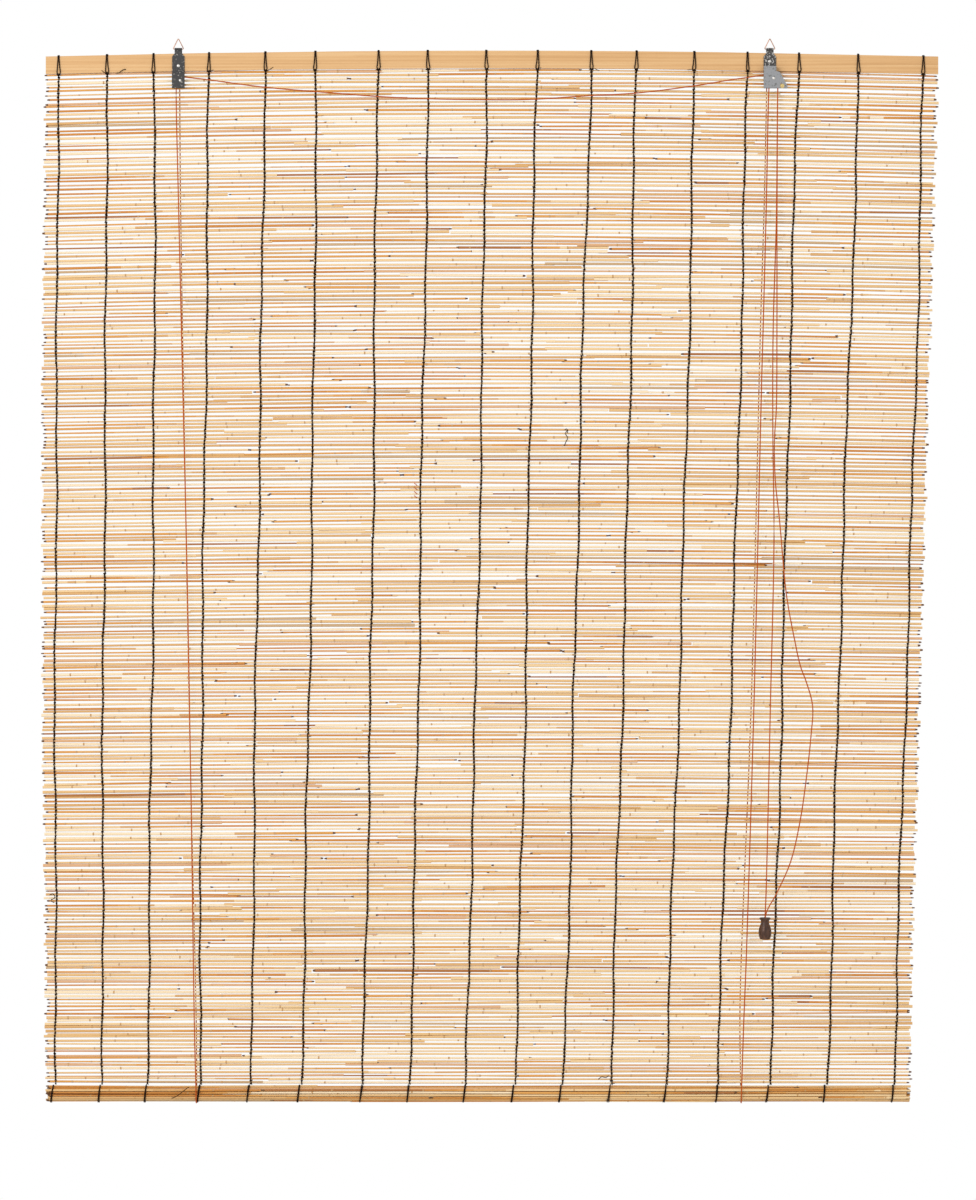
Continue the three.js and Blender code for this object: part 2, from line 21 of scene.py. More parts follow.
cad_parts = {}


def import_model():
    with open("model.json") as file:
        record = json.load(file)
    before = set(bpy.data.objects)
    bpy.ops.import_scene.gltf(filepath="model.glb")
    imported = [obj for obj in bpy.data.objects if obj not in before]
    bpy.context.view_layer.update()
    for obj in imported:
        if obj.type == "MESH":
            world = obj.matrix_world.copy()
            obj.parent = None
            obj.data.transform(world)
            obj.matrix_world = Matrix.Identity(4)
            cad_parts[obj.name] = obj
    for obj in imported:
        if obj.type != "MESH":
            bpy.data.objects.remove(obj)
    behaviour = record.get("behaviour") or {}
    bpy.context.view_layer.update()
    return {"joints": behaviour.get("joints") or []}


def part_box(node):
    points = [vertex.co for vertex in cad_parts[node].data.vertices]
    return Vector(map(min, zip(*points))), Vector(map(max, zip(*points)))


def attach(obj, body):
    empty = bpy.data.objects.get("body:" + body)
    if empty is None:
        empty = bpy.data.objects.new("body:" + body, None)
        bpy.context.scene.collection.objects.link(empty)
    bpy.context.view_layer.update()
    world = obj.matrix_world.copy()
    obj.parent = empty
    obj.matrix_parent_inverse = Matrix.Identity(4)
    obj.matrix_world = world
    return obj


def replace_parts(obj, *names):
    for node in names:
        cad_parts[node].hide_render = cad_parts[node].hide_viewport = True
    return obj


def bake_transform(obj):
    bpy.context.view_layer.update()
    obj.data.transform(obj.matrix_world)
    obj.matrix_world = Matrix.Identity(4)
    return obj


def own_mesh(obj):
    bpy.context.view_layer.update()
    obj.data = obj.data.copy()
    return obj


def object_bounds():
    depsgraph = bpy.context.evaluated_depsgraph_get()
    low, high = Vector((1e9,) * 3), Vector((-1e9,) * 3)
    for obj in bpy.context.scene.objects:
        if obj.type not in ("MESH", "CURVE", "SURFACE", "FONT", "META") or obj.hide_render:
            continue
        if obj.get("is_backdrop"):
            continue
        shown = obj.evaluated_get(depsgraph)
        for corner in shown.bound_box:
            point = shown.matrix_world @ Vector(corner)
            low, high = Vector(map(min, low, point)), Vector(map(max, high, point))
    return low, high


log = logging.getLogger("reed_blind")
MM = 0.001
SMOOTH_ANGLE = math.radians(58)


# ---------------------------------------------------------------- finishes


def linear(hex_colour: str, gain: float = 1.0) -> tuple[float, float, float, float]:
    """Turns a screen colour into the linear colour that shaders read.

    Args:
        hex_colour: The colour as #rrggbb.
        gain: A factor on its brightness.

    Returns:
        Red, green, blue and an alpha of 1.
    """
    channels = [int(hex_colour[i : i + 2], 16) / 255 for i in (1, 3, 5)]
    lit = [c / 12.92 if c <= 0.04045 else ((c + 0.055) / 1.055) ** 2.4 for c in channels]
    return (*[min(1.0, c * gain) for c in lit], 1.0)


class Shader:
    """A principled material while it is being put together."""

    def __init__(
        self, name: str, roughness: float, metallic: float = 0.0, sheen: float = 0.5
    ) -> None:
        """Starts the material.

        Args:
            name: The material's name.
            roughness: How rough the surface is all over.
            metallic: 1 for bare metal.
            sheen: How strongly a surface that isn't metal mirrors its surroundings.
        """
        self.material = bpy.data.materials.new(name)
        self.material.use_nodes = True
        self.tree = self.material.node_tree
        self.surface = self.tree.nodes["Principled BSDF"]
        self.surface.inputs["Roughness"].default_value = roughness
        self.surface.inputs["Metallic"].default_value = metallic
        self.surface.inputs["Specular IOR Level"].default_value = sheen

    def colour(self, colour: tuple[float, float, float, float]) -> None:
        """Gives the whole surface one base colour."""
        self.surface.inputs["Base Color"].default_value = colour

    def node(self, kind: str, **inputs: object) -> bpy.types.Node:
        """Adds a node.

        Args:
            kind: The node's type.
            **inputs: Values for its input sockets, with _ for a space in the name.

        Returns:
            The node.
        """
        made = self.tree.nodes.new(kind)
        for key, value in inputs.items():
            made.inputs[key.replace("_", " ")].default_value = value
        return made

    def grain(
        self,
        stretch: tuple[float, float, float],
        detail: float = 4.0,
        distortion: float = 0.0,
        turn: tuple[float, float, float] = (0.0, 0.0, 0.0),
    ) -> bpy.types.NodeSocket:
        """Noise over the piece's own coordinates, drawn out along its short scales.

        Args:
            stretch: How many waves per metre along X, Y and Z.
            detail: How many finer layers the noise has.
            distortion: How much the noise is bent.
            turn: How the pattern is turned, in radians.

        Returns:
            The noise's strength socket.
        """
        coordinates = self.tree.nodes.new("ShaderNodeTexCoord")
        mapping = self.node("ShaderNodeMapping", Scale=stretch, Rotation=turn)
        noise = self.node("ShaderNodeTexNoise", Scale=1.0, Detail=detail, Distortion=distortion)
        self.tree.links.new(coordinates.outputs["Object"], mapping.inputs["Vector"])
        self.tree.links.new(mapping.outputs["Vector"], noise.inputs["Vector"])
        return noise.outputs["Fac"]

    def lay(self, step: float) -> bpy.types.NodeSocket:
        """Slanting strands, on a cord that runs up or across.

        Args:
            step: How far apart the strands are.

        Returns:
            The strands' height socket.
        """
        coordinates = self.tree.nodes.new("ShaderNodeTexCoord")
        wave = self.node("ShaderNodeTexWave", Scale=math.pi / (5 * step), Distortion=1.2, Detail=3.0)
        wave.inputs["Detail Scale"].default_value = 3.0
        wave.bands_direction = "DIAGONAL"
        self.tree.links.new(coordinates.outputs["Object"], wave.inputs["Vector"])
        return wave.outputs["Fac"]

    def ramp(
        self, value: bpy.types.NodeSocket, stops: Sequence[tuple[float, str]]
    ) -> bpy.types.NodeSocket:
        """Turns a value into a colour.

        Args:
            value: The socket that drives it.
            stops: Places from 0 to 1 with their screen colours.

        Returns:
            The colour socket.
        """
        made = self.tree.nodes.new("ShaderNodeValToRGB")
        elements = made.color_ramp.elements
        while len(elements) < len(stops):
            elements.new(0.5)
        for element, (place, colour) in zip(elements, stops):
            element.position = place
            element.color = linear(colour)
        self.tree.links.new(value, made.inputs["Fac"])
        return made.outputs["Color"]

    def mix(
        self, share: bpy.types.NodeSocket, one: bpy.types.NodeSocket, other: bpy.types.NodeSocket
    ) -> bpy.types.NodeSocket:
        """Mixes two colours.

        Args:
            share: How much of the other colour there is.
            one: The first colour.
            other: The other colour.

        Returns:
            The mixed colour's socket.
        """
        made = self.tree.nodes.new("ShaderNodeMix")
        made.data_type = "RGBA"
        self.tree.links.new(share, made.inputs[0])
        self.tree.links.new(one, made.inputs[6])
        self.tree.links.new(other, made.inputs[7])
        return made.outputs[2]

    def spread(
        self, value: bpy.types.NodeSocket, low: float, high: float, frm: tuple[float, float] = (0.3, 0.7)
    ) -> bpy.types.NodeSocket:
        """Maps a value from one range to another and clamps it.

        Args:
            value: The value's socket.
            low: What the start of the first range becomes.
            high: What its end becomes.
            frm: The first range.

        Returns:
            The new value's socket.
        """
        made = self.node("ShaderNodeMapRange")
        made.inputs["From Min"].default_value = frm[0]
        made.inputs["From Max"].default_value = frm[1]
        made.inputs["To Min"].default_value = low
        made.inputs["To Max"].default_value = high
        self.tree.links.new(value, made.inputs["Value"])
        return made.outputs["Result"]

    def link(self, value: bpy.types.NodeSocket, socket: str) -> None:
        """Feeds one of the surface's sockets."""
        self.tree.links.new(value, self.surface.inputs[socket])

    def bump(self, height: bpy.types.NodeSocket, strength: float, distance: float) -> None:
        """Raises the surface by a height socket, with a strength and a distance in metres."""
        made = self.node("ShaderNodeBump", Strength=strength, Distance=distance)
        self.tree.links.new(height, made.inputs["Height"])
        self.link(made.outputs["Normal"], "Normal")


@dataclass(frozen=True)
class Finish:
    """A finish that can dress any number of pieces."""

    name: str

    def draw(self) -> bpy.types.Material:
        """Builds the material."""
        raise NotImplementedError

    def material(self) -> bpy.types.Material:
        """Returns the material, built the first time it is asked for."""
        found = bpy.data.materials.get(self.name)
        return found if found else self.draw()


@dataclass(frozen=True)
class DriedReed(Finish):
    """Dried reed in one tone, with fine fibres along the stalk."""

    tone: str
    roughness: float = 0.48

    def draw(self) -> bpy.types.Material:
        """Builds the material.

        Returns:
            The material.
        """
        shader = Shader(self.name, self.roughness, sheen=0.08)
        shader.colour(linear(self.tone, 0.9))
        shader.bump(shader.grain((14, 1200, 1200), detail=3), 0.4, 0.3 * MM)
        return shader.material


@dataclass(frozen=True)
class TwistedTwine(Finish):
    """Dark rough twine."""

    tone: str = "#241a15"

    def draw(self) -> bpy.types.Material:
        """Builds the material.

        Returns:
            The material.
        """
        shader = Shader(self.name, 0.95, sheen=0.0)
        shader.colour(linear(self.tone))
        shader.bump(shader.grain((2200, 2200, 900), detail=4, turn=(0.5, 0.0, 0.6)), 0.8, 0.4 * MM)
        return shader.material


@dataclass(frozen=True)
class PlanedWood(Finish):
    """Pale planed wood with a fine straight grain along the rail."""

    def draw(self) -> bpy.types.Material:
        """Builds the material.

        Returns:
            The material.
        """
        shader = Shader(self.name, 0.5, sheen=0.3)
        streaks = shader.grain((2.2, 90, 330), detail=6, distortion=0.35)
        tint = shader.ramp(
            streaks, [(0.28, "#b98d5c"), (0.45, "#c69b69"), (0.6, "#cca473"), (0.8, "#d3b184")]
        )
        fibres = shader.grain((30, 900, 1800), detail=3)
        pores = shader.ramp(fibres, [(0.34, "#9c7042"), (0.46, "#c8a06f")])
        shader.link(shader.mix(shader.spread(fibres, 0.0, 0.22, (0.52, 0.3)), tint, pores), "Base Color")
        shader.link(shader.spread(streaks, 0.44, 0.58), "Roughness")
        shader.bump(fibres, 0.25, 0.2 * MM)
        return shader.material


@dataclass(frozen=True)
class StainedWood(Finish):
    """Turned wood under dark brown stain and satin varnish."""

    def draw(self) -> bpy.types.Material:
        """Builds the material.

        Returns:
            The material.
        """
        shader = Shader(self.name, 0.4, sheen=0.25)
        streaks = shader.grain((420, 420, 60), detail=6, distortion=0.6)
        shader.link(
            shader.ramp(streaks, [(0.3, "#2c1a12"), (0.5, "#40281b"), (0.68, "#5a3a28")]),
            "Base Color",
        )
        shader.surface.inputs["Coat Weight"].default_value = 0.12
        shader.surface.inputs["Coat Roughness"].default_value = 0.2
        shader.bump(streaks, 0.3, 0.2 * MM)
        return shader.material


@dataclass(frozen=True)
class MottledMetal(Finish):
    """Metal in blotches of two looks, such as worn enamel over steel or dull zinc.

    Attributes:
        coat: The two colours of the main coat.
        worn: The two colours of the blotches.
        cover: How much the coat covers, as the noise's level where blotches start.
        coat_metal: How metallic the coat is.
        coat_rough: The coat's roughness.
        worn_rough: The blotches' roughness.
    """

    coat: tuple[str, str]
    worn: tuple[str, str]
    cover: float
    coat_metal: float
    coat_rough: float
    worn_rough: float

    def draw(self) -> bpy.types.Material:
        """Builds the material.

        Returns:
            The material.
        """
        shader = Shader(self.name, self.coat_rough)
        patches = shader.grain((330, 330, 280), detail=8, distortion=0.5)
        fine = shader.grain((1500, 1500, 1500), detail=5)
        coat = shader.ramp(fine, [(0.35, self.coat[0]), (0.65, self.coat[1])])
        worn = shader.ramp(fine, [(0.4, self.worn[0]), (0.6, self.worn[1])])
        edge = (self.cover, self.cover + 0.035)
        share = shader.spread(patches, 0.0, 1.0, edge)
        shader.link(shader.mix(share, coat, worn), "Base Color")
        shader.link(shader.spread(patches, self.coat_metal, 1.0, edge), "Metallic")
        shader.link(shader.spread(patches, self.coat_rough, self.worn_rough, edge), "Roughness")
        shader.bump(fine, 0.3, 0.15 * MM)
        return shader.material


@dataclass(frozen=True)
class BareMetal(Finish):
    """Bare metal with a light tarnish."""

    bright: str
    dull: str
    roughness: float

    def draw(self) -> bpy.types.Material:
        """Builds the material.

        Returns:
            The material.
        """
        shader = Shader(self.name, self.roughness, metallic=1.0)
        tarnish = shader.grain((700, 700, 700), detail=5)
        shader.link(shader.ramp(tarnish, [(0.38, self.dull), (0.6, self.bright)]), "Base Color")
        shader.link(shader.spread(tarnish, self.roughness + 0.15, self.roughness), "Roughness")
        shader.bump(tarnish, 0.12, 0.1 * MM)
        return shader.material


@dataclass(frozen=True)
class LaidCord(Finish):
    """Rust-coloured cord with a slanting lay, whose strands are a step apart. Its colour is darker in
    the grooves between strands, which is painted shade.
    """

    # light is the strands' own colour; dark is the painted shade in the grooves between them.
    light: str = "#bb5a27"
    dark: str = "#873610"
    step: float = 1.5 * MM

    def draw(self) -> bpy.types.Material:
        """Builds the material.

        Returns:
            The material.
        """
        shader = Shader(self.name, 0.85, sheen=0.0)
        strands = shader.lay(self.step)
        # One wave gives the strands' pattern and, dark where the bump sinks the grooves, painted shade.
        shader.link(shader.ramp(strands, [(0.1, self.dark), (0.55, self.light)]), "Base Color")
        shader.link(shader.spread(strands, 0.92, 0.78, (0.2, 0.8)), "Roughness")
        shader.bump(strands, 0.6, 0.3 * MM)
        return shader.material


class Tone(Enum):
    """The tones that stretches of reed come in."""

    IVORY = "#eed8b5"
    CREAM = "#e6c696"
    STRAW = "#ddb680"
    TAN = "#d3a66e"
    ROSY = "#d6a97f"
    GREY = "#c4a47c"
    HONEY = "#d9aa6e"
    AMBER = "#d79d57"
    RUSSET = "#d0924b"
    ORANGE = "#c98845"
    BROWN = "#aa7040"
    JOINT = "#c19866"
    TIP = "#6d4a2e"

    def finish(self) -> DriedReed:
        """The reed finish in this tone."""
        return DriedReed(f"reed_{self.name.lower()}", self.value)


TONES = list(Tone)
WARMING = (Tone.TAN, Tone.HONEY, Tone.AMBER, Tone.RUSSET, Tone.ORANGE, Tone.BROWN)
TWINE = TwistedTwine("twine_black")
RAIL_WOOD = PlanedWood("rail_planed_wood")
DARK_WOOD = StainedWood("tassel_stained_wood")
CORD = LaidCord("rust_cord")
ENAMEL = MottledMetal(
    "worn_enamel", ("#1f1f20", "#2d2c2c"), ("#6d6964", "#98938c"), 0.6, 0.1, 0.5, 0.45
)
PATCHY_ENAMEL = MottledMetal(
    "patchy_enamel", ("#2a2827", "#3b3836"), ("#989692", "#c2c0bc"), 0.54, 0.1, 0.45, 0.35
)
ZINC = MottledMetal(
    "dull_zinc", ("#828385", "#9a9b9d"), ("#5f605f", "#858685"), 0.58, 0.85, 0.42, 0.55
)
STEEL = BareMetal("bright_steel", "#d8d6d2", "#a8a49e", 0.3)
WIRE = BareMetal("coppered_wire", "#c79b84", "#8e6a58", 0.32)
BRASS = BareMetal("pale_brass", "#d9c48c", "#a88f58", 0.36)


# ---------------------------------------------------------------- mesh helpers


def tone_index(tone: Tone) -> int:
    """The material slot of a tone on a piece of reeds and twine, whose slot 0 is the twine."""
    return 1 + TONES.index(tone)


def reed_finishes() -> list[Finish]:
    """The finishes of a piece made of reeds and twine."""
    return [TWINE, *(tone.finish() for tone in TONES)]


def add_piece(
    name: str, bm: bmesh.types.BMesh, finishes: Sequence[Finish], slot: str, body: str | None
) -> bpy.types.Object:
    """Turns a bmesh into a dressed piece.

    Args:
        name: The piece's name.
        bm: Its shape, which is freed.
        finishes: Its finishes, in slot order.
        slot: The record's material slot. Not used.
        body: The body that it rides on, or None for a piece between two bodies that rides on neither.

    Returns:
        The piece.
    """
    bmesh.ops.recalc_face_normals(bm, faces=bm.faces)
    mesh = bpy.data.meshes.new(name)
    bm.to_mesh(mesh)
    bm.free()
    for finish in finishes:
        mesh.materials.append(finish.material())
    mesh.shade_smooth()
    mesh.set_sharp_from_angle(angle=SMOOTH_ANGLE)
    piece = bpy.data.objects.new(name, mesh)
    bpy.context.collection.objects.link(piece)
    if body:
        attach(piece, body)
    log.info("%s: %d faces, on %s", name, len(mesh.polygons), body or "two bodies")
    return piece


def station(point: Vector, heading: Vector, radius: float) -> Matrix:
    """The matrix that puts a unit ring at a point, square to a heading, with a radius."""
    turn = Vector((0, 0, 1)).rotation_difference(heading).to_matrix().to_4x4()
    return Matrix.Translation(point) @ turn @ Matrix.Scale(radius, 4)


def sweep(
    bm: bmesh.types.BMesh,
    points: Sequence[Vector],
    radii: float | Sequence[float],
    sides: int = 8,
    slots: Sequence[int] | None = None,
) -> None:
    """Extrudes a ring along a line of points and closes both ends.

    Args:
        bm: Where the shape goes.
        points: The middle of each ring.
        radii: One radius, or one for each point.
        sides: How many sides the ring has.
        slots: The material slot of each stretch between two points.
    """
    if isinstance(radii, float):
        radii = [radii] * len(points)
    last = len(points) - 1
    headings = [
        (points[min(i + 1, last)] - points[max(i - 1, 0)]).normalized() for i in range(last + 1)
    ]
    place = station(points[0], headings[0], radii[0])
    made = bmesh.ops.create_circle(bm, cap_ends=True, segments=sides, radius=1.0, matrix=place)
    ring = {edge for vert in made["verts"] for edge in vert.link_edges}
    start = {face for vert in made["verts"] for face in vert.link_faces}
    for face in start:
        face.material_index = slots[0] if slots else 0
    for i in range(1, last + 1):
        grown = bmesh.ops.extrude_edge_only(bm, edges=list(ring))["geom"]
        verts = [g for g in grown if isinstance(g, bmesh.types.BMVert)]
        fresh = set(verts)
        ring = {e for v in verts for e in v.link_edges if e.other_vert(v) in fresh}
        goal = station(points[i], headings[i], radii[i])
        bmesh.ops.transform(bm, matrix=goal @ place.inverted(), verts=verts)
        place = goal
        if slots:
            for face in {f for e in ring for f in e.link_faces}:
                face.material_index = slots[i - 1]
    capped = bmesh.ops.contextual_create(bm, geom=list(ring))["faces"]
    for face in capped:
        face.material_index = slots[-1] if slots else 0


def curve_through(points: Sequence[Vector], steps: int) -> list[Vector]:
    """A smooth centripetal curve through points.

    Args:
        points: The points that it passes through.
        steps: How many pieces each stretch between two points is cut into.

    Returns:
        The points along the curve.
    """
    ends = [2 * points[0] - points[1], *points, 2 * points[-1] - points[-2]]
    line = [points[0].copy()]
    for a, b, c, d in zip(ends, ends[1:], ends[2:], ends[3:]):
        knots = [0.0]
        for one, other in ((a, b), (b, c), (c, d)):
            knots.append(knots[-1] + max(1e-6, (other - one).length) ** 0.5)
        for k in range(1, steps + 1):
            t = knots[1] + (knots[2] - knots[1]) * k / steps
            low = a.lerp(b, t / knots[1])
            middle = b.lerp(c, (t - knots[1]) / (knots[2] - knots[1]))
            high = c.lerp(d, (t - knots[2]) / (knots[3] - knots[2]))
            near = low.lerp(middle, t / knots[2])
            far = middle.lerp(high, (t - knots[1]) / (knots[3] - knots[1]))
            line.append(near.lerp(far, (t - knots[1]) / (knots[2] - knots[1])))
    return line


def length_of(points: Sequence[Vector]) -> float:
    """The length of a line of points."""
    return sum((b - a).length for a, b in zip(points, points[1:]))


def arc(centre: Vector, radius: float, start: float, end: float, steps: int) -> list[Vector]:
    """Points on an arc in the plane of X and Z.

    Args:
        centre: The arc's centre.
        radius: Its radius.
        start: Its first angle, in degrees from +X towards +Z.
        end: Its last angle.
        steps: How many pieces it is cut into.

    Returns:
        The points.
    """
    angles = [math.radians(start + (end - start) * i / steps) for i in range(steps + 1)]
    return [centre + Vector((radius * math.cos(a), 0, radius * math.sin(a))) for a in angles]


def turned(section: Sequence[Vector], centre: Vector, axis: Vector, steps: int) -> bmesh.types.BMesh:
    """A shape turned from a section. One whose last point is its first is closed.

    Args:
        section: The section's points.
        centre: A point on the axis.
        axis: The axis.
        steps: How many steps the turn has.

    Returns:
        The shape.
    """
    closed = section[0] == section[-1]
    bm = bmesh.new()
    verts = [bm.verts.new(point) for point in (section[:-1] if closed else section)]
    pairs = zip(verts, verts[1:] + verts[:1] if closed else verts[1:])
    edges = [bm.edges.new(pair) for pair in pairs]
    bmesh.ops.spin(
        bm,
        geom=[*verts, *edges],
        cent=centre,
        axis=axis,
        angle=math.tau,
        steps=steps,
        use_merge=True,
    )
    bmesh.ops.remove_doubles(bm, verts=bm.verts, dist=1e-6)
    return bm


def knot_line(centre: Vector, size: float, tilt: float = 0.0) -> list[Vector]:
    """The line of a tight overhand knot.

    Args:
        centre: The knot's middle.
        size: A third of its half width.
        tilt: How far it is turned about Y, in radians.

    Returns:
        The points of one closed turn.
    """
    turn = Matrix.Rotation(tilt, 3, "Y")
    angles = [2 * math.pi * i / 26 for i in range(27)]
    return [
        centre
        + turn
        @ Vector(
            (
                size * (math.sin(t) + 2 * math.sin(2 * t)),
                size * 1.3 * math.sin(3 * t),
                size * (math.cos(t) - 2 * math.cos(2 * t)),
            )
        )
        for t in angles
    ]


def middle_of(node: str) -> Vector:
    """The middle of a frame node's box."""
    low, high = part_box(node)
    return (low + high) / 2


def refined(
    name: str, node: str, finishes: Sequence[Finish], slot: str, body: str, round_by: float
) -> bpy.types.Object:
    """A piece with the shape of a frame node and softened edges, which stands for the node.

    Args:
        name: The piece's name.
        node: The frame node.
        finishes: Its finishes.
        slot: The record's material slot.
        body: The body that it rides on.
        round_by: How far its sharp edges are rounded.

    Returns:
        The piece.
    """
    bm = bmesh.new()
    bm.from_mesh(bpy.data.objects[node].data)
    bmesh.ops.remove_doubles(bm, verts=bm.verts, dist=1e-6)
    bmesh.ops.dissolve_limit(bm, angle_limit=0.01, verts=bm.verts, edges=bm.edges)
    sharp = [e for e in bm.edges if e.is_manifold and e.calc_face_angle(0.0) > 0.7]
    bmesh.ops.bevel(
        bm,
        geom=sharp,
        offset=round_by,
        segments=2,
        profile=0.5,
        affect="EDGES",
        clamp_overlap=True,
        material=-1,
    )
    for face in bm.faces:
        face.material_index = 0
    piece = add_piece(name, bm, finishes, slot, body)
    even = piece.modifiers.new("even_flats", "WEIGHTED_NORMAL")
    even.keep_sharp = True
    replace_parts(piece, node)
    return piece


def dress(node: str, finish: Finish) -> None:
    """Gives a frame node that stays in view its finish."""
    mesh = bpy.data.objects[node].data
    mesh.materials.clear()
    mesh.materials.append(finish.material())


def carry(piece: bpy.types.Object, shift: Vector) -> None:
    """Gives a piece its own copy of its mesh.

    Args:
        piece: The piece, at rest.
        shift: How far it would move when the blind is fully up. Not used.
    """
    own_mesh(piece)


# ---------------------------------------------------------------- the wound mat


@dataclass
class WoundRoll:
    """Where each course of the mat lies once the blind is fully up.

    The mat is wound round the bundle in the plane of Y and Z. Its last course is under the
    bundle, and the line of the mat leaves the roll high on its back and runs up to the rail.

    Attributes:
        centre_z: The height of the roll's middle.
        rail_z: The height of the rail's underside.
        length: The mat's length.
        inner: The radius of its first turn.
        turns: How many whole turns are wound before the last part of one.
    """

    centre_z: float
    rail_z: float
    length: float
    inner: float = 19.0 * MM
    turns: int = 6
    growth: float = field(init=False, default=0.0)
    wound: float = field(init=False, default=0.0)
    outer: float = field(init=False, default=0.0)
    leave: float = field(init=False, default=0.0)

    def __post_init__(self) -> None:
        """Finds how thick each turn is, so that the roll holds the whole mat."""
        height = self.rail_z - self.centre_z
        low, high = 1 * MM, 12 * MM
        for _ in range(60):
            self.growth = (low + high) / 2
            self.outer = self.inner + self.growth * (self.turns + 0.35)
            self.leave = math.pi / 2 - math.acos(min(1.0, self.outer / height))
            turned = self.turned()
            held = self.inner * turned + self.growth * turned**2 / (4 * math.pi)
            straight = math.sqrt(max(0.0, height**2 - self.outer**2))
            if held + straight < self.length:
                low = self.growth
            else:
                high = self.growth
        self.wound = held

    def turned(self) -> float:
        """The angle from the mat's last course to where it leaves the roll."""
        return 2 * math.pi * self.turns + self.leave + math.pi / 2

    def place(self, from_end: float) -> tuple[float, float]:
        """Where a course lies in the roll.

        Args:
            from_end: Its distance along the mat from the last course.

        Returns:
            Its Y and Z.
        """
        if from_end < self.wound:
            slope = self.growth / (2 * math.pi)
            angle = (math.sqrt(self.inner**2 + 2 * slope * from_end) - self.inner) / slope
            radius = self.inner + slope * angle
            across = angle - math.pi / 2
            return radius * math.cos(across), self.centre_z + radius * math.sin(across)
        share = (from_end - self.wound) / max(1e-9, self.length - self.wound)
        start = Vector((self.outer * math.cos(self.leave), self.outer * math.sin(self.leave)))
        line = start.lerp(Vector((0.0, self.rail_z - self.centre_z)), min(1.0, share))
        return line.x, self.centre_z + line.y


